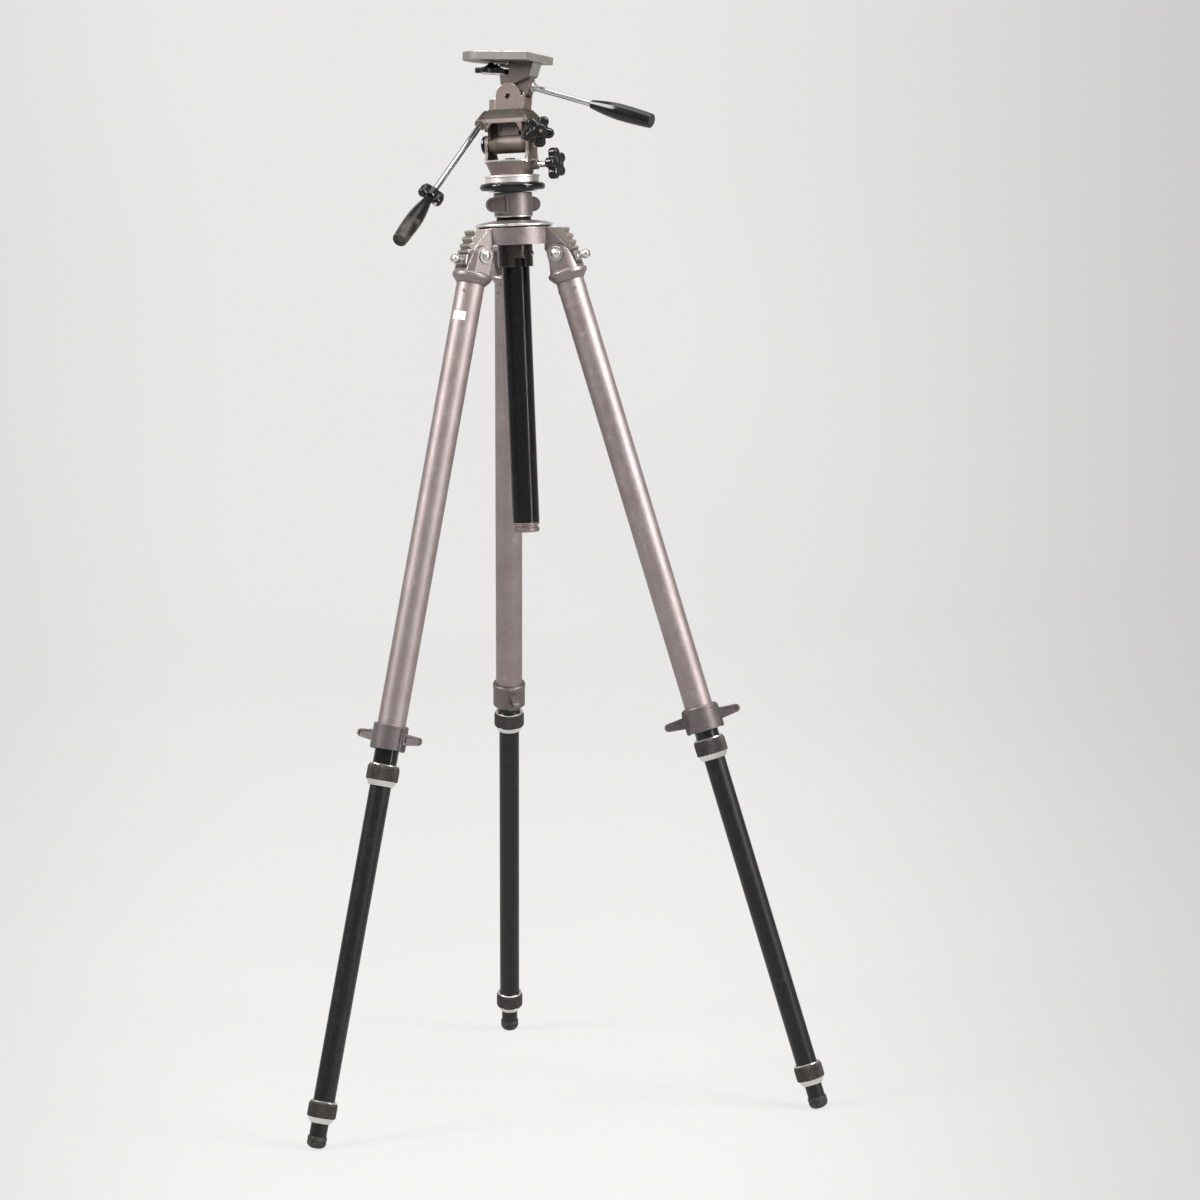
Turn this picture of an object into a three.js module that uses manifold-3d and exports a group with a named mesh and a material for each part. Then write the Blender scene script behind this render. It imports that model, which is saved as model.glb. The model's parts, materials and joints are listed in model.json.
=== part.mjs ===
// A studio tripod with a three-way head: three telescoping legs on a cast crown, a sliding centre
// column with a collar lock, and a head that pans, tilts and leans sideways under a camera platform.
//
// Units are millimetres and +Z is up. Every piece is drawn where it turns or slides: a leg's pieces in
// a frame whose origin is the leg's pivot and whose Z runs up the leg, the crown's and column's in a
// frame at the height of the pivots, and the head's in frames at its pan, tilt and side tilt axes.

import * as THREE from 'three';
import { mergeVertices } from 'three/addons/utils/BufferGeometryUtils.js';
import Module from 'manifold-3d';

const wasm = await Module();
wasm.setup();

// ---- Driving dimensions -------------------------------------------------------------------------

const GAP = 0.3; // between pieces that touch
const ROUND = 16; // facets round an ordinary tube
const FINE = 20; // facets round a wide disc or collar
const SMALL = 12; // facets round a pin, stem or bore
const rad = THREE.MathUtils.degToRad;

// Legs, measured along the leg from its pivot
const LEG_SPREAD = rad(15.7); // leg to vertical
const LEG_LENGTH = 1175;
const PIVOT_RADIUS = 66; // column axis to leg pivot
const MAIN_TUBE_R = 18.5;
const MAIN_TUBE_WALL = 1.8;
const MIDDLE_TUBE_R = 15.75;
const MIDDLE_TUBE_WALL = 1.2;
const LOWER_TUBE_R = 14;
const LOWER_TUBE_WALL = 1.5;
const FOOT_TUBE_R = 11.25;
const FOOT_TUBE_WALL = 1.5;
const TUBE_START = 37.3; // top of the main tube
const WING_TOP = 622;
const WING_HEIGHT = 33;
const WING_SPAN = 103; // tip to tip
const RING_HEIGHT = 29; // both lock rings
const MIDDLE_TUBE_LENGTH = 600;
const LOWER_TUBE_LENGTH = 490;
const FOOT_TUBE_LENGTH = 450;
const FOOT_SHOWS = 17; // foot tube between lower ring and rubber foot
const FOOT_HEIGHT = 16;
const FOOT_R = 13;

// Crown, measured from the height of the leg pivots
const LUG_HALF = 11; // half the thickness of the toothed lug between a leg's ears
const EAR_HALF = 21.5; // half the width over the ears
const BOLT_R = 5;
const BOLT_HOLE_R = 5.4;
const CROWN_RING_R = 50.5;
const CROWN_RING_BOTTOM = 14;
const CROWN_RING_TOP = 36;
const CROWN_DISC_R = 52;
const SLEEVE_R = 23.4;
const COLLET_TOP = 79.5;

// Centre column
const COLUMN_R = 18.2;
const COLUMN_BOTTOM = -354;
const COLUMN_TOP = 83;
const COLUMN_PLATE_R = 43.5;
const COLUMN_PLATE_TOP = 96;
const COLLAR_R = 25.4;

// Head
const HEAD_BEARING = rad(-36.4); // the head's forward direction from +Y
const PAN_DISC_R = 36;
const PAN_DISC_TOP = 105.2;
const TILT_AXIS_HEIGHT = 146;
const FORK_INNER = 28; // half the gap between the fork's arms
const FORK_OUTER = 34;
const ARM_R = 12.5; // half the width of an arm
const BARREL_R = 12.8;
const AXLE_R = 6;
const NOD = rad(4); // the tilting parts stand nodded forward at rest
const HOOD_BOTTOM = 26; // above the tilt axis
const HOOD_TOP = 44.3;
const SIDE_PIVOT = [2, 61.2]; // x and height of the side tilt pivot, from the tilt axis
const LEAN = rad(4); // the platform and its neck lean to the right at rest
const EAR_R = 18;
const NECK_HALF = 12;
const TONGUE_HALF = 7.2;
const TONGUE_R = 12;
const PIN_R = 3.7;
const PIN_HOLE_R = 4;
const PLATFORM_BOTTOM = 45.8; // above the side tilt pivot
const PLATFORM_THICKNESS = 10.2;
const PLATFORM_HALF_WIDTH = 38.5;
const PLATFORM_END = 38.1; // flat end, from the side tilt pivot
const PLATFORM_ARC_X = -33.5; // centre of the round end
const SCREW_X = -31; // camera screw, from the side tilt pivot
const SCREW_R = 3.1;
const ROD_R = 4;
const TILT_HANDLE_DROP = rad(37.5); // in the nodded frame
const SIDE_HANDLE_DROP = rad(13); // in the leaning frame
const GRIP_LENGTH = 91;

// ---- Materials ----------------------------------------------------------------------------------

const finish = (color, roughness, metalness) => () =>
  new THREE.MeshStandardMaterial({ color, roughness, metalness });
const paint = finish('#7b716d', 0.45, 0.6);
const platformPaint = finish('#86857d', 0.5, 0.5);
const anodised = finish('#17171b', 0.3, 0.7);
const enamel = finish('#101012', 0.2, 0.1);
const plastic = finish('#0d0d0e', 0.25, 0);
const knurled = finish('#2b2523', 0.6, 0.3);
const bright = finish('#c4c0ba', 0.3, 1);
const chrome = finish('#d9d9db', 0.12, 1);
const rubber = finish('#1b1918', 0.85, 0);

// ---- Shape helpers ------------------------------------------------------------------------------

// One closed mesh with shared corners and no zero-area triangles.
function weld(geometry) {
  geometry.deleteAttribute('normal');
  geometry.deleteAttribute('uv');
  const welded = mergeVertices(geometry, 1e-4);
  const corners = welded.index.array;
  const kept = [];
  for (let i = 0; i < corners.length; i += 3) {
    const [a, b, c] = [corners[i], corners[i + 1], corners[i + 2]];
    if (a !== b && b !== c && c !== a) {
      kept.push(a, b, c);
    }
  }
  welded.setIndex(kept);
  return welded;
}

function solid(geometry) {
  const welded = weld(geometry);
  const vertProperties = new Float32Array(welded.attributes.position.array);
  const triVerts = new Uint32Array(welded.index.array);
  return new wasm.Manifold(new wasm.Mesh({ numProp: 3, vertProperties, triVerts }));
}

function geometryOf(body) {
  const { vertProperties, triVerts } = body.getMesh();
  const geometry = new THREE.BufferGeometry();
  geometry.setAttribute('position', new THREE.BufferAttribute(new Float32Array(vertProperties), 3));
  geometry.setIndex(new THREE.BufferAttribute(new Uint32Array(triVerts), 1));
  return geometry;
}

// Body of revolution about Z from [radius, z] pairs, listed from the bottom up on the outside.
function revolve(profile, facets = ROUND) {
  const points = profile.map(([r, z]) => new THREE.Vector2(r, z));
  return new THREE.LatheGeometry(points, facets).rotateX(Math.PI / 2);
}

function tube(inner, outer, bottom, top, facets = ROUND) {
  return revolve(
    [
      [inner, bottom],
      [outer, bottom],
      [outer, top],
      [inner, top],
      [inner, bottom],
    ],
    facets
  );
}

function rod(radius, bottom, top, facets = ROUND) {
  return revolve(
    [
      [0, bottom],
      [radius, bottom],
      [radius, top],
      [0, top],
    ],
    facets
  );
}

// Plate of a given outline in the XY plane, centred on z = 0.
function plate(outline, thickness, curveSegments = 8) {
  const options = { depth: thickness, bevelEnabled: false, curveSegments };
  return new THREE.ExtrudeGeometry(outline, options).translate(0, 0, -thickness / 2);
}

// The same with the outline's x and y laid along X and Z, and the thickness along Y.
const uprightXZ = (outline, thickness, curveSegments) =>
  plate(outline, thickness, curveSegments).rotateX(Math.PI / 2);

// The same with the outline's x and y laid along Y and Z, and the thickness along X.
const uprightYZ = (outline, thickness, curveSegments) =>
  uprightXZ(outline, thickness, curveSegments).rotateZ(Math.PI / 2);

function outlineOf(points) {
  return new THREE.Shape(points.map(([x, y]) => new THREE.Vector2(x, y)));
}

// Cuts a round hole in an outline, wound against it as an extrusion needs.
function pierce(outline, x, y, radius) {
  const turn = THREE.ShapeUtils.isClockWise(outline.getPoints()) ? 1 : -1;
  const corners = Array.from({ length: SMALL }, (_, i) => {
    const angle = (turn * 2 * Math.PI * i) / SMALL;
    return new THREE.Vector2(x + radius * Math.cos(angle), y + radius * Math.sin(angle));
  });
  outline.holes.push(new THREE.Path(corners));
  return outline;
}

function box(x0, x1, y0, y1, z0, z1) {
  const geometry = new THREE.BoxGeometry(x1 - x0, y1 - y0, z1 - z0);
  return geometry.translate((x0 + x1) / 2, (y0 + y1) / 2, (z0 + z1) / 2);
}

const alongX = (geometry) => geometry.rotateY(Math.PI / 2);
const alongY = (geometry) => geometry.rotateX(-Math.PI / 2);

// Outline of a knob with round lobes and round valleys between them.
function lobedOutline(lobes, tipR, reach, valleyR, sweep = rad(95)) {
  const outline = new THREE.Shape();
  const step = (2 * Math.PI) / lobes;
  for (let i = 0; i < lobes; i += 1) {
    const heading = i * step;
    const centre = reach - tipR;
    outline.absarc(
      centre * Math.cos(heading),
      centre * Math.sin(heading),
      tipR,
      heading - sweep,
      heading + sweep,
      false
    );
    const valley = heading + step / 2;
    outline.lineTo(valleyR * Math.cos(valley), valleyR * Math.sin(valley));
  }
  outline.closePath();
  return outline;
}

function named(name, geometry, material) {
  const mesh = new THREE.Mesh(geometry, material());
  mesh.name = name;
  return mesh;
}

function group(...children) {
  const holder = new THREE.Group();
  holder.add(...children);
  return holder;
}

// ---- Crown --------------------------------------------------------------------------------------

// Outline of the toothed lug that stands between a leg's ears, seen from the side with the pivot at
// the origin and the column to the left. Its outer edge steps down in three teeth for the stop catch.
function lugOutline() {
  const inner = CROWN_RING_R - PIVOT_RADIUS - 4;
  const outline = new THREE.Shape();
  outline.moveTo(inner, CROWN_RING_BOTTOM);
  outline.lineTo(inner, CROWN_RING_TOP - 1);
  outline.lineTo(6, 33.6);
  outline.lineTo(7.2, 26.5);
  outline.lineTo(11, 24.6);
  outline.lineTo(15.4, 17);
  outline.lineTo(14, 14);
  outline.lineTo(20.8, 8.4);
  outline.lineTo(18.6, 4.4);
  outline.absarc(0, 0, 12, rad(-10), rad(-150), true);
  outline.lineTo(-20, 6);
  outline.closePath();
  return pierce(outline, 0, 0, BOLT_HOLE_R);
}

// Outline of the thicker web between the crown ring and the tops of the ears.
function webOutline() {
  const inner = CROWN_RING_R - PIVOT_RADIUS - 4;
  const outline = new THREE.Shape();
  outline.moveTo(inner, CROWN_RING_BOTTOM);
  outline.lineTo(inner, CROWN_RING_TOP - 1);
  outline.lineTo(-12, 34);
  outline.lineTo(12.5, 9);
  outline.absarc(0, 0, 14.2, rad(34), rad(140), false);
  outline.lineTo(-18, CROWN_RING_BOTTOM - 2);
  outline.closePath();
  return outline;
}

// Ring with a lug and web for each leg, hollow below round a hub for the sleeve.
function crownCasting() {
  const roof = CROWN_RING_TOP - 5;
  const hub = SLEEVE_R + 4;
  let casting = solid(tube(SLEEVE_R + 0.5, CROWN_RING_R, CROWN_RING_BOTTOM, CROWN_RING_TOP, FINE));
  const hollow = solid(tube(hub, CROWN_RING_R - 5, CROWN_RING_BOTTOM - 1, roof, FINE));
  const bore = solid(rod(SLEEVE_R + 0.5, 0, CROWN_RING_TOP + 1, FINE));
  casting = casting.subtract(hollow);
  for (const azimuth of Object.values(LEG_AZIMUTHS)) {
    const lug = uprightXZ(lugOutline(), 2 * LUG_HALF, 3).translate(PIVOT_RADIUS, 0, 0);
    const web = uprightXZ(webOutline(), 2 * LUG_HALF + 5, 3).translate(PIVOT_RADIUS, 0, 0);
    casting = casting.add(solid(lug.rotateZ(azimuth))).add(solid(web.rotateZ(azimuth)));
  }
  return geometryOf(casting.subtract(bore));
}

function crownTopDisc() {
  const bottom = CROWN_RING_TOP + GAP;
  return revolve(
    [
      [SLEEVE_R + 2 * GAP, bottom],
      [46, bottom],
      [CROWN_DISC_R - 1, bottom + 2.6],
      [CROWN_DISC_R, bottom + 3.6],
      [CROWN_DISC_R - 1.5, bottom + 4.6],
      [41, bottom + 7.6],
      [29, bottom + 9.4],
      [SLEEVE_R + 2 * GAP, bottom + 9.7],
      [SLEEVE_R + 2 * GAP, bottom],
    ],
    FINE
  );
}

// Guide sleeve under the ring, with a notch in its lower edge.
function crownSleeve() {
  const sleeve = solid(tube(COLUMN_R + 1, SLEEVE_R, -15.3, CROWN_RING_TOP - 2));
  const notch = box(COLUMN_R - 4, SLEEVE_R + 2, -6.7, 6.7, -20, -4).rotateZ(rad(-84));
  return geometryOf(sleeve.subtract(solid(notch)));
}

// Split collet that the column collar squeezes onto the column.
function columnCollet() {
  let collet = solid(tube(COLUMN_R + 0.5, SLEEVE_R, CROWN_RING_TOP - 1.5, COLLET_TOP));
  for (const turn of [45, 135]) {
    const slit = box(-30, 30, -0.8, 0.8, 54, COLLET_TOP + 1).rotateZ(rad(turn));
    collet = collet.subtract(solid(slit));
  }
  return geometryOf(collet);
}

// Clamping collar on the column with two flat paddle wings set off its sides.
function columnLockCollar() {
  let collar = solid(tube(SLEEVE_R + 0.5, COLLAR_R, 50, COLUMN_TOP - 0.5, FINE));
  const bore = solid(rod(SLEEVE_R + 0.5, 40, 100, FINE));
  const paddle = new THREE.Shape();
  paddle.moveTo(8, -13.2);
  paddle.lineTo(24, -10.2);
  paddle.absarc(26.4, -0.6, 9.8, rad(-75), rad(80), false);
  paddle.lineTo(20, 10.4);
  paddle.lineTo(8, 12.8);
  paddle.closePath();
  for (const turn of [0, 180]) {
    const wing = uprightXZ(paddle, 5, 6).translate(0, 19.5, 67.3).rotateZ(rad(turn));
    collar = collar.add(solid(wing));
  }
  return geometryOf(collar.subtract(bore));
}

// ---- Centre column ------------------------------------------------------------------------------

function columnEndCap() {
  const top = COLUMN_BOTTOM + 14;
  const plug = COLUMN_R - 2.6;
  return revolve([
    [0, COLUMN_BOTTOM - 13],
    [COLUMN_R - 2.4, COLUMN_BOTTOM - 13],
    [COLUMN_R - 0.4, COLUMN_BOTTOM - 11],
    [COLUMN_R - 0.4, COLUMN_BOTTOM - 7.5],
    [COLUMN_R - 2.2, COLUMN_BOTTOM - 6.5],
    [COLUMN_R - 2.2, COLUMN_BOTTOM - 4],
    [COLUMN_R - 0.2, COLUMN_BOTTOM - 3],
    [COLUMN_R - 0.2, COLUMN_BOTTOM - GAP],
    [plug, COLUMN_BOTTOM - GAP],
    [plug, top],
    [0, top],
  ]);
}

function columnPlate() {
  return revolve(
    [
      [0, COLUMN_TOP + GAP],
      [33, COLUMN_TOP + GAP],
      [39, COLUMN_TOP + 2],
      [COLUMN_PLATE_R - 1, COLUMN_TOP + 6],
      [COLUMN_PLATE_R, COLUMN_TOP + 9],
      [COLUMN_PLATE_R - 1.2, COLUMN_PLATE_TOP - 1.4],
      [COLUMN_PLATE_R - 4.5, COLUMN_PLATE_TOP],
      [0, COLUMN_PLATE_TOP],
    ],
    FINE
  );
}

function panDisc() {
  return revolve(
    [
      [0, COLUMN_PLATE_TOP + GAP],
      [PAN_DISC_R - 0.8, COLUMN_PLATE_TOP + GAP],
      [PAN_DISC_R, COLUMN_PLATE_TOP + 1.4],
      [PAN_DISC_R, PAN_DISC_TOP - 1],
      [PAN_DISC_R - 1.2, PAN_DISC_TOP],
      [0, PAN_DISC_TOP],
    ],
    FINE
  );
}

// ---- Legs ---------------------------------------------------------------------------------------

// Forked casting at a leg's top: a spigot in the tube, a flared flange and two ears round the lug.
function legCasting() {
  const body = revolve([
    [0, -62],
    [MAIN_TUBE_R - MAIN_TUBE_WALL - 0.4, -62],
    [MAIN_TUBE_R - MAIN_TUBE_WALL - 0.4, -TUBE_START + GAP],
    [MAIN_TUBE_R + 0.6, -TUBE_START + GAP],
    [25.8, -29],
    [26, -24.5],
    [23, -22],
    [0, -22],
  ]);
  const ear = new THREE.Shape();
  ear.moveTo(-17.5, -24);
  ear.lineTo(-12.6, -9);
  ear.absarc(0, 0, 12.6, rad(200), rad(45), true);
  ear.lineTo(16.5, 1);
  ear.lineTo(18.5, -8);
  ear.lineTo(19.5, -24);
  ear.closePath();
  pierce(ear, 0, 0, BOLT_HOLE_R);
  const ears = solid(uprightXZ(ear, 2 * EAR_HALF, 4)).intersect(solid(rod(24.5, -24, 20)));
  const slot = box(-30, 30, -LUG_HALF - 0.8, LUG_HALF + 0.8, -19.5, 20);
  return geometryOf(solid(body).add(ears).subtract(solid(slot)));
}

// Pivot bolt across the ears with a washer and a domed head at each end.
function pivotBolt() {
  const face = EAR_HALF + GAP;
  const end = [
    [BOLT_R, face],
    [9.8, face],
    [9.8, face + 1.6],
    [6.2, face + 1.6],
    [0, face + 6],
  ];
  const mirrored = end.map(([r, y]) => [r, -y]).reverse();
  return alongY(revolve([...mirrored, ...end], SMALL));
}

// Sprung pawl whose top catches under the lug's teeth, with its pull knob and hinge pin.
function stopCatch() {
  const pawl = outlineOf([
    [10.5, -18.6],
    [16.5, -18.6],
    [21.4, -14.5],
    [21.5, -2.6],
    [19.6, -2.6],
    [18.5, -5.4],
    [13.4, -6.2],
    [12.2, -10],
  ]);
  const knob = revolve(
    [
      [0, 19],
      [2.6, 19],
      [2.6, 27],
      [5.4, 28.5],
      [5.8, 34],
      [4, 37],
      [0, 37.6],
    ],
    12
  );
  const block = solid(uprightXZ(pawl, 2 * LUG_HALF));
  return geometryOf(block.add(solid(alongX(knob).translate(0, 0, -10.5))));
}

// Twist collar that locks the middle section, with two tapered wings.
function wingLock() {
  const bottom = -WING_TOP - WING_HEIGHT;
  const step = bottom + 12;
  const collar = revolve(
    [
      [MIDDLE_TUBE_R + 0.5, bottom],
      [22.4, bottom],
      [22.4, -WING_TOP - 2],
      [21, -WING_TOP],
      [MAIN_TUBE_R + 0.5, -WING_TOP],
      [MAIN_TUBE_R + 0.5, step],
      [MIDDLE_TUBE_R + 0.5, step],
      [MIDDLE_TUBE_R + 0.5, bottom],
    ],
    FINE
  );
  const tip = WING_SPAN / 2 - 5;
  const wing = new THREE.Shape();
  wing.moveTo(20.5, -8.5);
  wing.lineTo(tip, -5);
  wing.absarc(tip, 0, 5, rad(-90), rad(90), false);
  wing.lineTo(20.5, 7.5);
  wing.closePath();
  let lock = solid(collar);
  for (const turn of [0, Math.PI]) {
    const blade = uprightXZ(wing, 8, 5).translate(0, 0, bottom + WING_HEIGHT / 2);
    lock = lock.add(solid(blade.rotateZ(turn)));
  }
  return geometryOf(lock);
}

// Lock ring: thin rim, knurled band with chamfered edges and a cone below.
function lockRing(top, outerR, upperR, lowerR) {
  const bottom = top - RING_HEIGHT;
  const shoulder = bottom + 9;
  return revolve([
    [lowerR + 0.4, bottom],
    [outerR - 2.2, bottom + 6],
    [outerR, bottom + 10],
    [outerR, top - 6],
    [outerR - 2, top],
    [upperR + 0.4, top],
    [upperR + 0.4, shoulder],
    [lowerR + 0.4, shoulder],
    [lowerR + 0.4, bottom],
  ], 16);
}

function rubberFoot() {
  const top = -LEG_LENGTH + FOOT_HEIGHT;
  return revolve([
    [0, -LEG_LENGTH],
    [7.5, -LEG_LENGTH + 0.8],
    [11, -LEG_LENGTH + 3],
    [FOOT_R, -LEG_LENGTH + 7],
    [FOOT_R, top - 1.5],
    [FOOT_R - 1, top],
    [0, top],
  ], SMALL);
}

const LEG_AZIMUTHS = { left: rad(210), right: rad(330), back: rad(90) };
const MIDDLE_SHOWS = { left: 19, right: 10, back: 10 }; // middle section below the wing collar
const WING_TURN = { left: rad(-75), right: rad(21), back: rad(4) };

function leg(side) {
  const middleTop = -WING_TOP - WING_HEIGHT - MIDDLE_SHOWS[side];
  const lowerRingTop = -LEG_LENGTH + FOOT_HEIGHT + FOOT_SHOWS + RING_HEIGHT;
  const middleEnd = middleTop - RING_HEIGHT + 9 + GAP;
  const lowerEnd = lowerRingTop - RING_HEIGHT + 9 + GAP;
  const footEnd = -LEG_LENGTH + FOOT_HEIGHT + GAP;

  const mainTube = tube(
    MAIN_TUBE_R - MAIN_TUBE_WALL,
    MAIN_TUBE_R,
    -WING_TOP - WING_HEIGHT + 12 + GAP,
    -TUBE_START
  );
  const middleTube = tube(
    MIDDLE_TUBE_R - MIDDLE_TUBE_WALL,
    MIDDLE_TUBE_R,
    middleEnd,
    middleEnd + MIDDLE_TUBE_LENGTH
  );
  const lowerTube = tube(
    LOWER_TUBE_R - LOWER_TUBE_WALL,
    LOWER_TUBE_R,
    lowerEnd,
    lowerEnd + LOWER_TUBE_LENGTH
  );
  const footTube = tube(FOOT_TUBE_R - FOOT_TUBE_WALL, FOOT_TUBE_R, footEnd, footEnd + FOOT_TUBE_LENGTH, 16);
  const upperRing = lockRing(middleTop, 21, MIDDLE_TUBE_R, LOWER_TUBE_R);
  const lowerRing = lockRing(lowerRingTop, 19, LOWER_TUBE_R, FOOT_TUBE_R);

  const hanging = group(
    named(`leg_casting_${side}`, legCasting(), paint),
    named(`pivot_bolt_${side}`, pivotBolt(), bright),
    named(`stop_catch_${side}`, stopCatch(), paint),
    named(`main_tube_${side}`, mainTube, paint),
    named(`wing_lock_${side}`, wingLock().rotateZ(WING_TURN[side]), paint),
    named(`middle_tube_${side}`, middleTube, anodised),
    named(`upper_lock_ring_${side}`, upperRing, knurled),
    named(`lower_tube_${side}`, lowerTube, anodised),
    named(`lower_lock_ring_${side}`, lowerRing, knurled),
    named(`foot_tube_${side}`, footTube, anodised),
    named(`rubber_foot_${side}`, rubberFoot(), rubber)
  );
  hanging.position.x = PIVOT_RADIUS;
  hanging.rotation.y = -LEG_SPREAD;
  const turned = group(hanging);
  turned.rotation.z = LEG_AZIMUTHS[side];
  return turned;
}

// ---- Head: pan and tilt -------------------------------------------------------------------------

const PAN_SCREW_Z = -28.5; // height of the pan lock's screw from the tilt axis

// Flared base with the two fork arms that carry the tilt axle, drawn from the tilt axis.
function panBase() {
  const bottom = PAN_DISC_TOP + GAP - TILT_AXIS_HEIGHT;
  const top = bottom + 19.5;
  const cone = revolve(
    [
      [0, bottom],
      [28.2, bottom],
      [28.4, bottom + 2.6],
      [31, bottom + 8.5],
      [34.4, top - 2],
      [34.8, top],
      [0, top],
    ],
    FINE
  );
  const rounding = solid(rod(35.2, bottom, 40, FINE));
  const bearing = alongX(rod(AXLE_R + 0.4, -50, 50, 16));
  let base = solid(cone);
  for (const [side, rise] of [
    [-1, 0],
    [1, 6],
  ]) {
    const arm = new THREE.Shape();
    arm.moveTo(-17, top - 4);
    arm.lineTo(-ARM_R, top + 8);
    arm.lineTo(-ARM_R, rise);
    arm.absarc(0, rise, ARM_R, Math.PI, 0, true);
    arm.lineTo(ARM_R, top + 8);
    arm.lineTo(17, top - 4);
    arm.closePath();
    const middle = (side * (FORK_INNER + FORK_OUTER)) / 2;
    const slab = uprightYZ(arm, FORK_OUTER - FORK_INNER, 4).translate(middle, 0, 0);
    base = base.add(solid(slab).intersect(rounding));
  }
  const boss = alongX(rod(6.5, 0, 9.5, 14));
  base = base.add(solid(boss.translate(30, 0, PAN_SCREW_Z)));
  base = base.add(solid(clampBoss()));
  base = base.subtract(solid(bearing));
  const stemHole = alongX(rod(ROD_R + 0.4, 18, 44, SMALL)).translate(0, 0, PAN_SCREW_Z);
  return geometryOf(base.subtract(solid(stemHole)).subtract(solid(clampHole())));
}

// Where the tilt lock's screw leaves the right arm; it points outwards and back.
const CLAMP_START = [34.5, -1.5, 14];
const CLAMP_BEARING = rad(-40);

// Lays a shape drawn along Z onto the line of the tilt lock screw.
function onClampLine(geometry) {
  alongX(geometry).rotateZ(CLAMP_BEARING);
  return geometry.translate(...CLAMP_START);
}

const clampBoss = () => onClampLine(rod(7.3, -1, 7.5, 14));
const clampHole = () => onClampLine(rod(ROD_R + 0.4, 1, 20, SMALL));

// Five-lobed knob on a screw, drawn along Z from the screw's tip.
function starKnob(screwLength) {
  const wheel = new THREE.ExtrudeGeometry(lobedOutline(5, 5.6, 19.8, 10.5), {
    depth: 8,
    bevelEnabled: true,
    bevelThickness: 2,
    bevelSize: 1.6,
    bevelOffset: -0.4,
    bevelSegments: 1,
    curveSegments: 3,
  });
  const stem = revolve(
    [
      [0, 0],
      [ROD_R, 0],
      [ROD_R, screwLength - 4],
      [8, screwLength - 3],
      [9.5, screwLength + 3],
      [9, screwLength + 13.5],
      [6, screwLength + 15],
      [0, screwLength + 15],
    ],
    SMALL
  );
  return geometryOf(solid(wheel.translate(0, 0, screwLength + 2)).add(solid(stem)));
}

// Barrel between the arms, turning on the axle.
function tiltBarrel() {
  return alongX(
    revolve([
      [AXLE_R + GAP, 1 - FORK_INNER],
      [BARREL_R, 1 - FORK_INNER],
      [BARREL_R, 5 - FORK_INNER],
      [BARREL_R - 0.8, 5.6 - FORK_INNER],
      [BARREL_R - 0.8, FORK_INNER - 5.6],
      [BARREL_R, FORK_INNER - 5],
      [BARREL_R, FORK_INNER - 1],
      [AXLE_R + GAP, FORK_INNER - 1],
      [AXLE_R + GAP, 1 - FORK_INNER],
    ], 16)
  );
}

function tiltAxle() {
  return alongX(
    revolve(
      [
        [0, -FORK_OUTER - 0.6],
        [AXLE_R, -FORK_OUTER - 0.6],
        [AXLE_R, FORK_OUTER + 1.5],
        [AXLE_R - 1, FORK_OUTER + 2.5],
        [0, FORK_OUTER + 2.5],
      ],
      SMALL
    )
  );
}

function tiltEndCap() {
  return alongX(
    revolve([
      [0, -FORK_OUTER - 5],
      [10.5, -FORK_OUTER - 5],
      [12.4, -FORK_OUTER - 3.6],
      [12.4, -FORK_OUTER - 1],
      [0, -FORK_OUTER - 1],
    ])
  );
}

// Direction and mouth of the tilt handle's socket in the hood.
const HANDLE_MOUTH = [-33, -23.5, 24];

function onTiltHandle(geometry) {
  geometry.rotateX(Math.PI / 2 + TILT_HANDLE_DROP);
  return geometry.translate(...HANDLE_MOUTH);
}

// Mirrors the right-hand half of an outline, listed from the bottom up, to make the whole.
function symmetric(half) {
  return outlineOf([...half, ...half.map(([x, y]) => [-x, y]).reverse()]);
}

// Back or front wall of the hood's skirt, arched between two feet.
function hoodArch() {
  return outlineOf([
    [24.6, 15],
    [27.5, 15],
    [27.5, HOOD_BOTTOM + 4.4],
    [-27.5, HOOD_BOTTOM + 4.4],
    [-27.5, 15],
    [-24.6, 15],
    [-21.5, HOOD_BOTTOM - 4],
    [-15, HOOD_BOTTOM - 0.5],
    [15, HOOD_BOTTOM - 0.5],
    [21.5, HOOD_BOTTOM - 4],
  ]);
}

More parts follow.
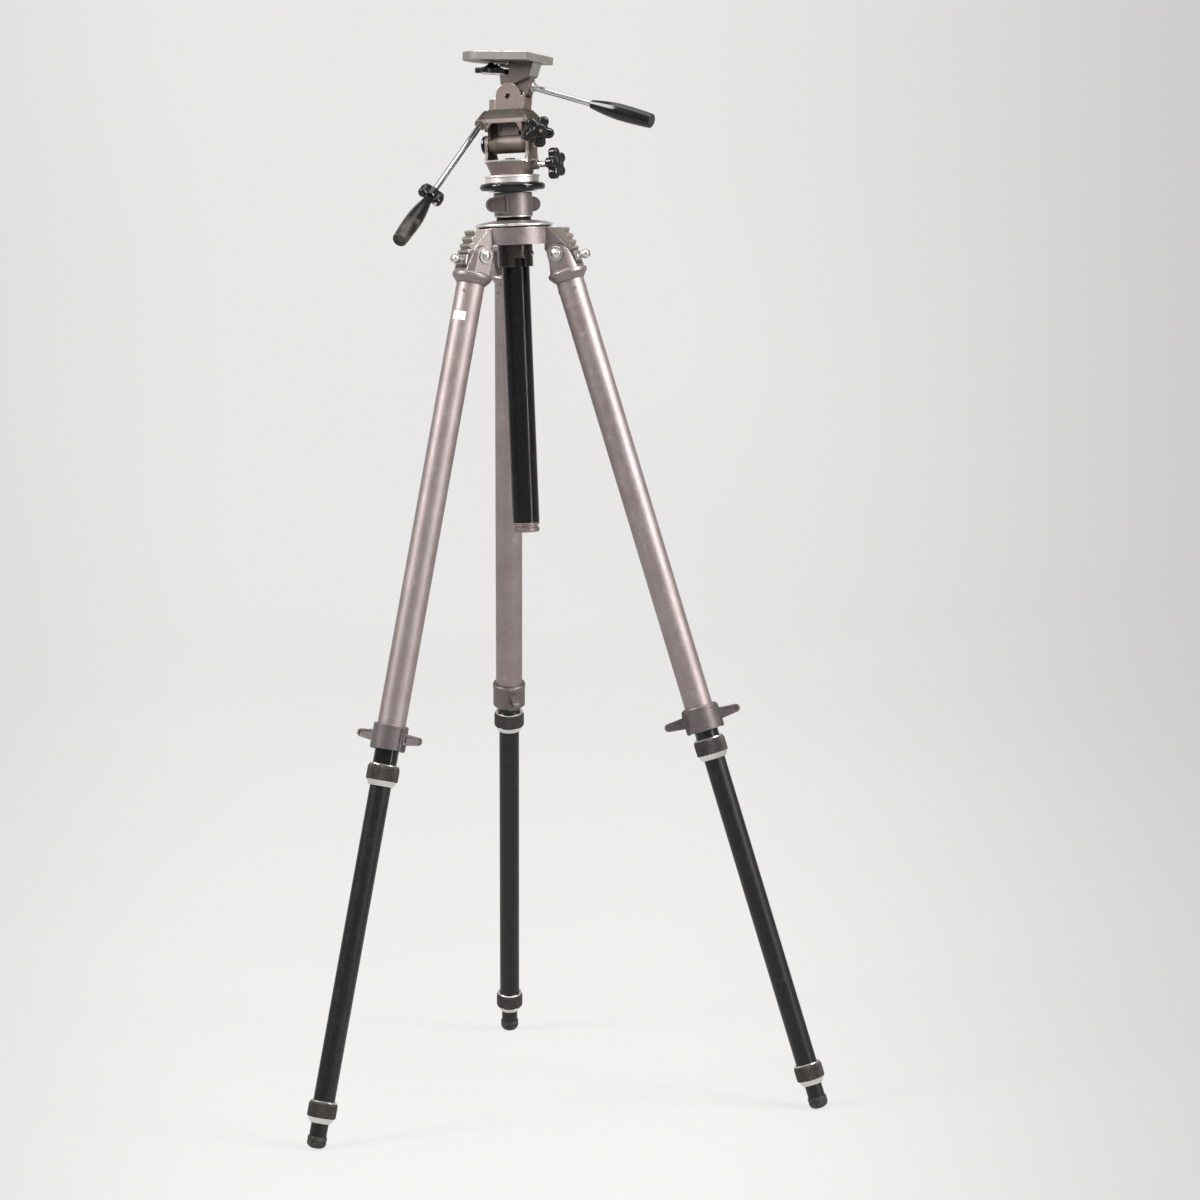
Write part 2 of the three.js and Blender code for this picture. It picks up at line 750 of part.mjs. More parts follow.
// Hood that caps the fork: tapered on all sides, hollow below, with an arched skirt, cheeks down to
// the barrel's ends, a web down to its middle and the tilt handle's socket on its left corner.
function tiltBody() {
  const front = symmetric([
    [34, HOOD_BOTTOM],
    [33.6, HOOD_BOTTOM + 5],
    [31.5, HOOD_BOTTOM + 11],
    [25.5, HOOD_TOP - 0.8],
    [24.5, HOOD_TOP],
  ]);
  const flank = symmetric([
    [22, HOOD_BOTTOM],
    [21.6, HOOD_BOTTOM + 5],
    [19.5, HOOD_BOTTOM + 11],
    [15, HOOD_TOP],
  ]);
  const corners = new THREE.Shape();
  for (const [turn, x, y] of [
    [0, 28, 16],
    [90, -28, 16],
    [180, -28, -16],
    [270, 28, -16],
  ]) {
    corners.absarc(x, y, 6, rad(turn), rad(turn + 90), false);
  }
  const outside = solid(uprightXZ(front, 60))
    .intersect(solid(uprightYZ(flank, 80)))
    .intersect(solid(plate(corners, 200, 3)));
  let hood = outside.subtract(solid(box(-26.9, 26.9, -18, 18, HOOD_BOTTOM - 1, HOOD_BOTTOM + 8)));
  hood = hood.add(solid(box(-15, 16, -8, 8, 6, HOOD_BOTTOM + 10)));
  for (const side of [-1, 1]) {
    const cheek = box(22.4, 27.3, -13, 13, 5, HOOD_BOTTOM + 9);
    const wall = uprightXZ(hoodArch(), 3.8).translate(0, side * 19.4, 0);
    hood = hood.add(solid(wall)).add(solid(side > 0 ? cheek : cheek.rotateZ(Math.PI)));
  }
  const clearance = alongX(rod(BARREL_R + GAP, -40, 40, FINE));
  const socket = onTiltHandle(revolve([[0, -24], [7, -24], [8.1, 0], [0, 0]], 14));
  const socketBore = onTiltHandle(rod(ROD_R + 0.3, -18, 2, SMALL));
  return geometryOf(
    hood
      .subtract(solid(clearance))
      .add(solid(socket))
      .subtract(solid(socketBore))
  );
}

// Grip drawn along Z from its neck, bored for the rod.
function grip(start) {
  const swell = [
    [0, 5.8],
    [0.2, 8.8],
    [0.42, 11],
    [0.7, 10.8],
    [0.97, 9.7],
    [1, 8.4],
  ].map(([along, r]) => [r, start + along * GRIP_LENGTH]);
  return revolve([
    [0, start + 30],
    [ROD_R + 0.3, start + 30],
    [ROD_R + 0.3, start],
    ...swell,
    [0, start + GRIP_LENGTH],
  ], 14);
}

// Lobed clamp on the tilt handle with a flat plate on its upper face.
function handleClamp() {
  const disc = plate(lobedOutline(4, 6, 15, 9.5), 3, 3).translate(0, 0, 156.5);
  const lobes = new THREE.ExtrudeGeometry(lobedOutline(4, 5.8, 15, 8.6), {
    depth: 11,
    bevelEnabled: true,
    bevelThickness: 3,
    bevelSize: 2,
    bevelOffset: -2,
    bevelSegments: 1,
    curveSegments: 2,
  });
  const body = solid(disc).add(solid(lobes.translate(0, 0, 160)));
  return geometryOf(body.subtract(solid(rod(ROD_R + 0.4, 150, 180, 16))));
}

// ---- Head: side tilt and platform ---------------------------------------------------------------

// Block on the hood with two round-topped ears, drawn from the side tilt pivot. The slot between the
// ears is closed at both ends below the sweep of the neck's tongue.
function sideTiltBase() {
  const bottom = HOOD_TOP + GAP - SIDE_PIVOT[1];
  const outline = new THREE.Shape();
  outline.moveTo(-28, bottom);
  outline.lineTo(-28, -2.4);
  outline.absarc(0, 0, EAR_R, rad(187.7), rad(24), true);
  outline.lineTo(19, 0);
  outline.lineTo(21.5, 0);
  outline.lineTo(23, 3);
  outline.lineTo(25, 3);
  outline.lineTo(22.5, bottom);
  outline.closePath();
  pierce(outline, 0, 0, PIN_HOLE_R);
  const slot = new THREE.Shape();
  slot.moveTo(-40, 7.1);
  slot.absarc(0, 0, TONGUE_R + 0.4, rad(218), rad(288), false);
  slot.lineTo(30, 0.6);
  slot.lineTo(30, 40);
  slot.lineTo(-40, 40);
  slot.closePath();
  const block = solid(uprightXZ(outline, 2 * NECK_HALF, 8));
  return geometryOf(block.subtract(solid(uprightXZ(slot, 2 * (TONGUE_HALF + GAP), 5))));
}

// Neck that carries the platform: two cheeks over the ears and a tongue between them, notched on the
// left for the camera screw's wheel.
function sideTiltHead() {
  const top = PLATFORM_BOTTOM - GAP;
  const cheek = new THREE.Shape();
  cheek.moveTo(-15, top);
  cheek.lineTo(-14.5, 34);
  cheek.absarc(0, 0, EAR_R + 0.5, rad(127), rad(66), true);
  cheek.lineTo(30.5, 27);
  cheek.lineTo(35.6, top);
  cheek.closePath();
  const tongue = new THREE.Shape();
  tongue.moveTo(-8, 30);
  tongue.absarc(0, 0, TONGUE_R, rad(150), rad(290), false);
  tongue.lineTo(28, 5.6);
  tongue.lineTo(29.5, 30);
  tongue.closePath();
  pierce(tongue, 0, 0, PIN_HOLE_R);
  const wheelNotch = rod(33, 28.4, 38.6, FINE).translate(SCREW_X, 0, 0);
  let neck = solid(uprightXZ(cheek, 2 * NECK_HALF, 6)).add(solid(uprightXZ(tongue, 2 * TONGUE_HALF, 6)));
  neck = neck.add(solid(onSideHandle(revolve([[0, -10], [7, -10], [7.4, 0], [0, 0]], 14))));
  neck = neck.subtract(solid(wheelNotch));
  return geometryOf(neck.subtract(solid(onSideHandle(rod(ROD_R + 0.3, -18, 2, SMALL)))));
}

const SIDE_MOUTH = [31.7, 0, 12.9]; // where the side handle leaves the neck

function onSideHandle(geometry) {
  geometry.rotateY(Math.PI / 2 + SIDE_HANDLE_DROP);
  return geometry.translate(...SIDE_MOUTH);
}

// Plate with a round end by the camera screw and a flat end over the neck.
function cameraPlatform() {
  const outline = new THREE.Shape();
  outline.moveTo(PLATFORM_END, -PLATFORM_HALF_WIDTH);
  outline.lineTo(PLATFORM_END, PLATFORM_HALF_WIDTH);
  outline.absarc(PLATFORM_ARC_X, 0, PLATFORM_HALF_WIDTH, rad(90), rad(270), false);
  outline.closePath();
  pierce(outline, SCREW_X, 0, SCREW_R + 0.5);
  const middle = PLATFORM_BOTTOM + PLATFORM_THICKNESS / 2;
  return plate(outline, PLATFORM_THICKNESS, 12).translate(0, 0, middle);
}

function cameraScrew() {
  const tip = PLATFORM_BOTTOM + PLATFORM_THICKNESS + 4.5;
  return revolve(
    [
      [0, 30.4],
      [SCREW_R, 30.4],
      [SCREW_R, tip - 1],
      [2.2, tip],
      [0, tip],
    ],
    12
  ).translate(SCREW_X, 0, 0);
}

// Flat lobed wheel with a domed hub that drives the camera screw.
function cameraScrewWheel() {
  const wheel = plate(lobedOutline(6, 6, 23.4, 17.5), 7.4, 3).translate(0, 0, 33.4);
  const hub = revolve(
    [
      [0, 31],
      [12.5, 31],
      [11.5, 38.5],
      [6, 42.5],
      [5.2, 44.6],
      [0, 44.6],
    ],
    14
  );
  const bored = solid(wheel).add(solid(hub)).subtract(solid(rod(SCREW_R + GAP, 20, 60, 12)));
  return geometryOf(bored).translate(SCREW_X, 0, 0);
}

// ---- Assembly -----------------------------------------------------------------------------------

function crown() {
  return group(
    named('crown_casting', crownCasting(), paint),
    named('crown_top_disc', crownTopDisc(), paint),
    named('crown_sleeve', crownSleeve(), anodised),
    named('column_collet', columnCollet(), bright),
    named('column_lock_collar', columnLockCollar().rotateZ(rad(-8)), paint),
    leg('left'),
    leg('right'),
    leg('back')
  );
}

function column() {
  const wall = COLUMN_R - 2;
  return group(
    named('column_tube', tube(wall, COLUMN_R, COLUMN_BOTTOM, COLUMN_TOP), anodised),
    named('column_end_cap', columnEndCap(), paint),
    named('column_plate', columnPlate(), enamel),
    named('pan_disc', panDisc(), bright)
  );
}

// What leans with the neck, drawn from the side tilt pivot.
function leaningParts() {
  const handleRod = onSideHandle(rod(ROD_R, -16, 112, SMALL));
  const pin = alongY(rod(PIN_R, -NECK_HALF + 3, NECK_HALF - 3, SMALL));
  const leaning = group(
    named('side_tilt_head', sideTiltHead(), paint),
    named('side_tilt_pivot', pin, bright),
    named('camera_platform', cameraPlatform(), platformPaint),
    named('camera_screw', cameraScrew(), bright),
    named('camera_screw_wheel', cameraScrewWheel(), enamel),
    named('side_handle_rod', handleRod, chrome),
    named('side_handle_grip', onSideHandle(grip(85.5)), plastic)
  );
  leaning.rotation.y = LEAN;
  leaning.position.set(SIDE_PIVOT[0], 0, SIDE_PIVOT[1]);
  return leaning;
}

// What tilts on the axle, drawn from the tilt axis.
function noddingParts() {
  const base = named('side_tilt_base', sideTiltBase(), paint);
  base.position.set(SIDE_PIVOT[0], 0, SIDE_PIVOT[1]);
  const nodding = group(
    named('tilt_barrel', tiltBarrel(), paint),
    named('tilt_axle', tiltAxle(), bright),
    named('tilt_end_cap', tiltEndCap(), plastic),
    named('tilt_body', tiltBody(), paint),
    named('tilt_handle_rod', onTiltHandle(rod(ROD_R, -16, 204, SMALL)), chrome),
    named('tilt_handle_grip', onTiltHandle(grip(177)), plastic),
    named('handle_clamp_knob', onTiltHandle(handleClamp()), plastic),
    base,
    leaningParts()
  );
  nodding.rotation.x = -NOD;
  return nodding;
}

function head() {
  const panKnob = alongX(starKnob(39)).translate(20, 0, PAN_SCREW_Z);
  const turned = group(
    named('pan_base', panBase(), paint),
    named('pan_lock_knob', panKnob, plastic),
    named('tilt_lock_knob', onClampLine(starKnob(9).translate(0, 0, 4)), plastic),
    noddingParts()
  );
  turned.position.z = TILT_AXIS_HEIGHT;
  turned.rotation.z = HEAD_BEARING;
  return turned;
}

// The tripod stands on z = 0 with the middle of its footprint at the origin.
const tripod = group(crown(), column(), head());
tripod.updateMatrixWorld(true);
const extent = new THREE.Box3().setFromObject(tripod, true);
const middle = extent.getCenter(new THREE.Vector3());
tripod.position.set(-middle.x, -middle.y, -extent.min.z);
tripod.updateMatrixWorld(true);

export default tripod;
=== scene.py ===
import json
import math

import bpy
from bpy.props import FloatProperty, FloatVectorProperty, IntProperty, PointerProperty
from bpy.types import Operator, Panel, PropertyGroup
from mathutils import Matrix, Vector


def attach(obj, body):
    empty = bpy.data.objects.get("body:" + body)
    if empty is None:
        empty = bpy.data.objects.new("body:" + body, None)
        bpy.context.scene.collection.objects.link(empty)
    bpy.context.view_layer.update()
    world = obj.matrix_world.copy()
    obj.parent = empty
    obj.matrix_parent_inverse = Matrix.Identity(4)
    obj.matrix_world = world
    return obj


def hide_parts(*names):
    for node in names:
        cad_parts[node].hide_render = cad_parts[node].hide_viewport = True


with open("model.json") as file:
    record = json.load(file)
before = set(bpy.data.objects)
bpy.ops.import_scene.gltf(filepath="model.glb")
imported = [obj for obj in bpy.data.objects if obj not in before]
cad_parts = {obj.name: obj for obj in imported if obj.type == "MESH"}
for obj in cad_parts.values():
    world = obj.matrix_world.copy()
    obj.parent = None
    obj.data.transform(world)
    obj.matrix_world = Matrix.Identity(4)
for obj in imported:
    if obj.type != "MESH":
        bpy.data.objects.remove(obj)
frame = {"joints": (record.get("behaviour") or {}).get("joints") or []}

bl_info = {
    "name": "Studio Tripod Builder",
    "version": (1, 0, 0),
    "blender": (4, 5, 0),
    "location": "View3D > Sidebar > Tripod",
    "description": "Models a camera tripod with a three-way head around its working frame",
    "category": "Add Mesh",
}


# ---- The frame's own places ---------------------------------------------------------------------
# Pieces are shaped in millimetres in the frame of what carries them, then seated in metres. The
# shop tools' tolerances are in millimetres too, and NEARLY_FLAT is in degrees.

MM = 0.001
SAME_POINT = 0.005
NO_STEP = 1e-6
SLIVER = 0.02
NEARLY_FLAT = 0.6
LARGE_FACES_LEAD = 80
SIDES = ("left", "right", "back")
JOINTS = {joint["name"]: joint for joint in frame["joints"]}
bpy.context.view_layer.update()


def joint_point(name):
    return Vector(JOINTS[name]["pos_m"])


def joint_axis(name):
    return Vector(JOINTS[name]["axis"]).normalized()


def frame_at(origin, x_axis, y_axis, z_axis):
    """Matrix from a shape drawn in millimetres about its own origin to its place in metres."""
    turn = Matrix((x_axis, y_axis, z_axis)).transposed().to_4x4()
    return Matrix.Translation(origin) @ turn @ Matrix.Scale(MM, 4)


def leg_frame(side):
    """Origin at a leg's pivot, Z up along the leg, X outwards."""
    up = -joint_axis(f"middle_{side}_slide")
    across = joint_axis(f"leg_{side}_fold")
    return frame_at(joint_point(f"leg_{side}_fold"), across.cross(up), across, up)


def column_frame():
    """Origin on the column's axis at the height of the leg pivots."""
    axis = joint_point("pan")
    origin = Vector((axis.x, axis.y, joint_point("leg_left_fold").z))
    return frame_at(origin, Vector((1, 0, 0)), Vector((0, 1, 0)), Vector((0, 0, 1)))


def head_frame():
    """Origin at the tilt axis, X to the head's right and Z up, for what stands level."""
    right = -joint_axis("tilt")
    up = Vector((0, 0, 1))
    return frame_at(joint_point("tilt"), right, up.cross(right), up)


def nod_frame(joint="tilt"):
    """Origin at the tilt or side tilt axis, for what nods with the hood."""
    right = -joint_axis("tilt")
    forward = -joint_axis("side_tilt")
    return frame_at(joint_point(joint), right, forward, right.cross(forward))


def lean_frame():
    """Origin at the side tilt axis, for what leans sideways as well."""
    up = joint_axis("camera_screw_turn")
    forward = -joint_axis("side_tilt")
    return frame_at(joint_point("side_tilt"), forward.cross(up), forward, up)


def line_frame(joint):
    """Origin at a joint and Z along its axis, with X as near straight down as it goes."""
    along = joint_axis(joint)
    down = Vector((0, 0, -1))
    x_axis = (down - along * down.dot(along)).normalized()
    return frame_at(joint_point(joint), x_axis, along.cross(x_axis), along)


def crown_azimuth(side):
    """A leg's bearing about the column, from +X."""
    outward = joint_point(f"leg_{side}_fold") - joint_point("pan")
    return math.atan2(outward.y, outward.x)


# ---- Shop tools: shaping in edit mode -----------------------------------------------------------


def object_mode():
    if bpy.context.object and bpy.context.object.mode != "OBJECT":
        bpy.ops.object.mode_set(mode="OBJECT")


def put_down_everything():
    object_mode()
    bpy.ops.object.select_all(action="DESELECT")


def pick(piece):
    put_down_everything()
    bpy.context.view_layer.objects.active = piece
    piece.select_set(True)


def edit_all():
    bpy.ops.object.mode_set(mode="EDIT")
    bpy.ops.mesh.select_mode(type="VERT")
    bpy.ops.mesh.select_all(action="SELECT")


def arc(cx, cy, radius, start, end, steps=8):
    """Points on an arc, in degrees, as an outline or profile takes them."""
    turns = [math.radians(start + (end - start) * i / steps) for i in range(steps + 1)]
    return [(cx + radius * math.cos(t), cy + radius * math.sin(t)) for t in turns]


def coated(piece, finishes):
    for finish in finishes:
        piece.data.materials.append(finish)


def traced(name, points, finishes):
    """A chain of vertices pulled out one after another from a single one, left in edit mode."""
    put_down_everything()
    bpy.ops.mesh.primitive_plane_add(size=1, location=(0, 0, 0))
    piece = bpy.context.object
    piece.name = piece.data.name = name
    coated(piece, finishes)
    edit_all()
    bpy.ops.mesh.merge(type="CENTER")
    bpy.ops.transform.translate(value=points[0])
    for here, there in zip(points, points[1:]):
        step = tuple(b - a for a, b in zip(here, there))
        if max(map(abs, step)) > NO_STEP:
            bpy.ops.mesh.extrude_vertices_move(TRANSFORM_OT_translate={"value": step})
    return piece


def weld():
    """Merges doubles and turns every face outwards, in edit mode, then leaves it."""
    bpy.ops.mesh.select_all(action="SELECT")
    bpy.ops.mesh.remove_doubles(threshold=SAME_POINT)
    bpy.ops.mesh.normals_make_consistent(inside=False)
    object_mode()


def turned(name, profile, finishes, steps=64):
    """Spins a profile of (radius, height) points about Z."""
    piece = traced(name, [(r, 0, z) for r, z in profile], finishes)
    bpy.ops.mesh.select_all(action="SELECT")
    bpy.ops.mesh.spin(steps=steps, angle=2 * math.pi, center=(0, 0, 0), axis=(0, 0, 1))
    weld()
    return piece


def plate(name, outline, thickness, finishes, base=None):
    """Fills an outline of (x, z) points and pulls it out along Y, centred or from base."""
    start = -thickness / 2 if base is None else base
    piece = traced(name, [(x, start, z) for x, z in outline], finishes)
    bpy.ops.mesh.select_all(action="SELECT")
    bpy.ops.mesh.edge_face_add()
    bpy.ops.mesh.extrude_region_move(TRANSFORM_OT_translate={"value": (0, thickness, 0)})
    weld()
    return piece


def block(name, low, high, finishes):
    """A box between two corners."""
    put_down_everything()
    middle = [(a + b) / 2 for a, b in zip(low, high)]
    bpy.ops.mesh.primitive_cube_add(size=1, location=middle)
    piece = bpy.context.object
    piece.name = piece.data.name = name
    piece.scale = [b - a for a, b in zip(low, high)]
    bpy.ops.object.transform_apply(location=True, rotation=True, scale=True)
    coated(piece, finishes)
    return piece


def turn(piece, angle, axis="Z"):
    piece.data.transform(Matrix.Rotation(math.radians(angle), 4, axis))
    return piece


def shift(piece, x=0, y=0, z=0):
    piece.data.transform(Matrix.Translation((x, y, z)))
    return piece


def twin(piece, name):
    """A copy with its own mesh."""
    copy = piece.copy()
    copy.data = piece.data.copy()
    copy.name = copy.data.name = name
    bpy.context.scene.collection.objects.link(copy)
    return copy


def carve(piece, tool, operation):
    """Joins a tool's solid to a piece, or cuts it away, and drops the tool."""
    pick(piece)
    modifier = piece.modifiers.new("carve", "BOOLEAN")
    modifier.operation = operation
    modifier.solver = "EXACT"
    modifier.object = tool
    bpy.ops.object.modifier_apply(modifier=modifier.name)
    bpy.data.objects.remove(tool)
    return piece


def added(piece, *tools):
    for tool in tools:
        carve(piece, tool, "UNION")
    return piece


def cut(piece, *tools):
    for tool in tools:
        carve(piece, tool, "DIFFERENCE")
    return piece


def common(piece, tool):
    return carve(piece, tool, "INTERSECT")


def tidy_edges(piece):
    """Removes the slivers that a cut leaves, so that a bevel runs clean."""
    pick(piece)
    edit_all()
    bpy.ops.mesh.remove_doubles(threshold=SLIVER)
    bpy.ops.mesh.dissolve_degenerate(threshold=SLIVER)
    bpy.ops.mesh.dissolve_limited(angle_limit=math.radians(NEARLY_FLAT))
    bpy.ops.mesh.normals_make_consistent(inside=False)
    object_mode()


def eased(piece, width, segments=2, angle=28, worn=True):
    """Rounds a piece's sharp edges; with worn, the rounding takes its second finish."""
    pick(piece)
    modifier = piece.modifiers.new("ease", "BEVEL")
    modifier.width = width
    modifier.segments = segments
    modifier.limit_method = "ANGLE"
    modifier.angle_limit = math.radians(angle)
    modifier.material = 1 if worn and len(piece.data.materials) > 1 else -1
    bpy.ops.object.modifier_apply(modifier=modifier.name)
    return piece


def softened(piece, width, **how):
    """Clears the slivers that cutting has left, then rounds the edges."""
    tidy_edges(piece)
    return eased(piece, width, **how)


def seated(piece, place, body, stands_for=(), smooth=32):
    """Puts a finished piece in its place on a body of the frame."""
    pick(piece)
    bpy.ops.object.shade_smooth_by_angle(angle=math.radians(smooth))
    modifier = piece.modifiers.new("flat faces stay flat", "WEIGHTED_NORMAL")
    modifier.keep_sharp = True
    modifier.weight = LARGE_FACES_LEAD
    bpy.ops.object.modifier_apply(modifier=modifier.name)
    piece.data.transform(place)
    piece.data.update()
    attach(piece, body)
    if stands_for:
        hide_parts(*stands_for)


# ---- Shop tools: node finishes ------------------------------------------------------------------


NOISE_LOW = 0.3
NOISE_HIGH = 0.7


class Wire:
    """A shader socket that takes part in sums; each step of an expression adds a Math node."""

    def __init__(self, recipe, socket):
        self.recipe = recipe
        self.socket = socket

    def _math(self, operation, first, second):
        return self.recipe.node("ShaderNodeMath", {"operation": operation}, {0: first, 1: second})

    def __add__(self, other):
        return self._math("ADD", self, other)

    def __radd__(self, other):
        return self._math("ADD", other, self)

    def __sub__(self, other):
        return self._math("SUBTRACT", self, other)

    def __rsub__(self, other):
        return self._math("SUBTRACT", other, self)

    def __mul__(self, other):
        return self._math("MULTIPLY", self, other)

    def __rmul__(self, other):
        return self._math("MULTIPLY", other, self)

    def __truediv__(self, other):
        return self._math("DIVIDE", self, other)

    def __rtruediv__(self, other):
        return self._math("DIVIDE", other, self)


class Finish:
    """A node material in the making."""

    def __init__(self, name):
        self.material = bpy.data.materials.new(name)
        self.material.use_nodes = True
        self.tree = self.material.node_tree
        self.tree.nodes.clear()
        self.place = self.node("ShaderNodeTexCoord", output="Object")

    def node(self, kind, settings=None, sockets=None, output=0):
        """Adds one node: its settings, then a value or a wire for each socket that is named."""
        node = self.tree.nodes.new(kind)
        for key, value in (settings or {}).items():
            setattr(node, key, value)
        for key, value in (sockets or {}).items():
            if isinstance(value, Wire):
                self.tree.links.new(value.socket, node.inputs[key])
            else:
                node.inputs[key].default_value = value
        return Wire(self, node.outputs[output])

    def grain(self, size, detail=2.0, roughness=0.5, stretch=None):
        """Noise whose lumps are about a size in millimetres, from 0 to 1."""
        place = self.place
        if stretch:
            place = self.node("ShaderNodeMapping", None, {"Vector": place, "Scale": stretch})
        sockets = {"Vector": place, "Scale": 1 / (size * MM), "Detail": detail,
                   "Roughness": roughness}
        return self.node("ShaderNodeTexNoise", None, sockets)

    def step(self, wire, low, high):
        """Smooth rise from 0 at low to 1 at high."""
        sockets = {"Value": wire, "From Min": low, "From Max": high}
        return self.node("ShaderNodeMapRange", {"interpolation_type": "SMOOTHSTEP"}, sockets)

    def between(self, wire, low, high):
        """A noise's useful middle, from NOISE_LOW to NOISE_HIGH, spread over a range."""
        sockets = {"Value": wire, "From Min": NOISE_LOW, "From Max": NOISE_HIGH}
        sockets |= {"To Min": low, "To Max": high}
        return self.node("ShaderNodeMapRange", None, sockets)

    def blend(self, mask, colour, other):
        return self.node("ShaderNodeMix", {"data_type": "RGBA"}, {0: mask, 6: colour, 7: other},
                         output=2)

    def bump(self, height, depth):
        """Relief of a depth in millimetres."""
        return self.node("ShaderNodeBump", None,
                         {"Height": height, "Distance": depth * MM, "Strength": 1.0})

    def surface(self, **sockets):
        """Closes the recipe with one shader and returns the material."""
        named = {key.replace("_", " "): value for key, value in sockets.items()}
        self.node_out(self.node("ShaderNodeBsdfPrincipled", None, named))
        return self.material

    def node_out(self, shader):
        """Leads a shader to the material's output."""
        end = self.tree.nodes.new("ShaderNodeOutputMaterial")
        self.tree.links.new(shader.socket, end.inputs["Surface"])


def tint(colour, light=1.0):
    """A colour made lighter or darker, as a socket takes it."""
    return (*[min(1.0, part * light) for part in colour], 1.0)


def dimmed(colour, share):
    return [part * share for part in colour]


# ---- Finishes of this tripod --------------------------------------------------------------------


def painted(name, colour, chips, metallic, roughness):
    """Metallic stove paint: fine sparkle, slow drift of tone, and bare metal where it is chipped.

    Chips is the height of noise that has lost its paint, so 0.9 keeps all of it."""
    bare = bpy.context.scene.tripod_colours.bare_metal
    recipe = Finish(name)
    sparkle = recipe.grain(0.8, 3, 0.7)
    drift = recipe.grain(38, 3)
    rubbed = recipe.grain(9, 4, 0.6)
    chipped = recipe.step(recipe.grain(2.6, 4, 0.62), chips - 0.015, chips + 0.02)
    tone = recipe.blend(recipe.between(sparkle, 0, 1), tint(colour, 0.7), tint(colour, 1.3))
    tone = recipe.blend(recipe.between(drift, 0, 0.6), tone, tint(colour, 0.72))
    tone = recipe.blend(recipe.step(rubbed, 0.58, 0.74) * 0.35, tone, tint(colour, 1.5))
    tone = recipe.blend(chipped, tone, tint(bare))
    shine = roughness + recipe.between(rubbed, -0.05, 0.07) + recipe.between(sparkle, -0.03, 0.03)
    relief = sparkle * 0.5 + (1 - chipped) * 0.6
    return recipe.surface(
        Base_Color=tone,
        Metallic=chipped * (0.95 - metallic) + metallic,
        Roughness=shine,
        Normal=recipe.bump(relief, 0.05),
    )


def worn_edge(name, colour, cover):
    """An edge rubbed through its paint; cover is how much paint is left, from 0 to 1."""
    bare = bpy.context.scene.tripod_colours.bare_metal
    recipe = Finish(name)
    patches = recipe.grain(7, 5, 0.62)
    through = recipe.step(patches, cover - 0.07, cover + 0.05)
    tone = recipe.blend(recipe.grain(1.2, 2), tint(colour, 0.9), tint(colour, 1.5))
    metal = recipe.blend(recipe.grain(2.2, 3), tint(bare, 0.8), tint(bare, 1.12))
    return recipe.surface(
        Base_Color=recipe.blend(through, tone, metal),
        Metallic=through * 0.12 + 0.85,
        Roughness=0.44 - through * 0.12 + recipe.between(patches, -0.05, 0.05),
        Normal=recipe.bump(patches, 0.05),
    )


def anodised(name, colour, roughness, chips, coat=0.0):
    """Black anodised tube: faint drawing lines along it, dust, and small bright nicks."""
    recipe = Finish(name)
    lines = recipe.grain(1.4, 2, 0.6, stretch=(1, 1, 0.02))
    dust = recipe.grain(14, 5, 0.7)
    nicks = recipe.step(recipe.grain(2.2, 3, 0.6), chips, chips + 0.03)
    tone = recipe.blend(recipe.between(lines, 0, 1), tint(colour, 0.75), tint(colour, 1.3))
    tone = recipe.blend(recipe.step(dust, 0.54, 0.78) * 0.16, tone, (0.07, 0.067, 0.065, 1))
    tone = recipe.blend(nicks, tone, (0.5, 0.48, 0.46, 1))
    shine = roughness + recipe.between(dust, -0.04, 0.08) + recipe.between(lines, -0.02, 0.02)
    return recipe.surface(
        Base_Color=tone,
        Metallic=nicks * 0.8 + 0.1,
        Roughness=shine,
        Normal=recipe.bump(lines, 0.02),
        Specular_IOR_Level=0.4,
        Coat_Weight=coat,
    )


def gloss_black(name, roughness, wear):
    """Gloss black moulding or enamel with handling marks and a few pale scuffs."""
    recipe = Finish(name)
    smear = recipe.grain(11, 4, 0.6)
    scuff = recipe.step(recipe.grain(1.8, 4, 0.6), wear - 0.1, wear)
    tone = recipe.blend(recipe.between(smear, 0, 1), (0.004, 0.004, 0.0045, 1),
                        (0.01, 0.0095, 0.009, 1))
    tone = recipe.blend(scuff * 0.7, tone, (0.2, 0.19, 0.18, 1))
    return recipe.surface(
        Base_Color=tone,
        Roughness=roughness + recipe.between(smear, -0.03, 0.06) + scuff * 0.3,
        Normal=recipe.bump(smear, 0.05),
        Specular_IOR_Level=0.4,
    )


def polished_metal(name, colour, roughness, grain_size=3.0, stain=0.25):
    """Plain metal with brushing, handling stains and small pits."""
    recipe = Finish(name)
    brushing = recipe.grain(grain_size, 3, 0.6)
    stains = recipe.grain(6, 4, 0.65)
    pits = recipe.step(recipe.grain(0.8, 2), 0.68, 0.76)
    tone = recipe.blend(recipe.between(brushing, 0, 1), tint(colour, 0.88), tint(colour, 1.08))
    tone = recipe.blend(recipe.step(stains, 0.5, 0.72) * stain, tone, tint((0.3, 0.24, 0.19)))
    tone = recipe.blend(pits * 0.4, tone, tint(colour, 0.35))
    return recipe.surface(
        Base_Color=tone,
        Metallic=1.0,
        Roughness=roughness + recipe.between(brushing, -0.04, 0.05) + pits * 0.2,
        Normal=recipe.bump(brushing, 0.03),
    )


def knurled_black(name):
    """Dark anodised ridges, greyed where fingers have polished them."""
    recipe = Finish(name)
    grime = recipe.grain(3.5, 5, 0.7)
    fine = recipe.grain(0.5, 2)
    tone = recipe.blend(recipe.between(grime, 0, 1), (0.012, 0.0098, 0.0088, 1),
                        (0.05, 0.041, 0.036, 1))
    return recipe.surface(
        Base_Color=recipe.blend(recipe.step(fine, 0.6, 0.75) * 0.5, tone, (0.12, 0.105, 0.095, 1)),
        Metallic=0.3,
        Roughness=0.5 + recipe.between(grime, -0.08, 0.12),
        Normal=recipe.bump(fine, 0.06),
    )


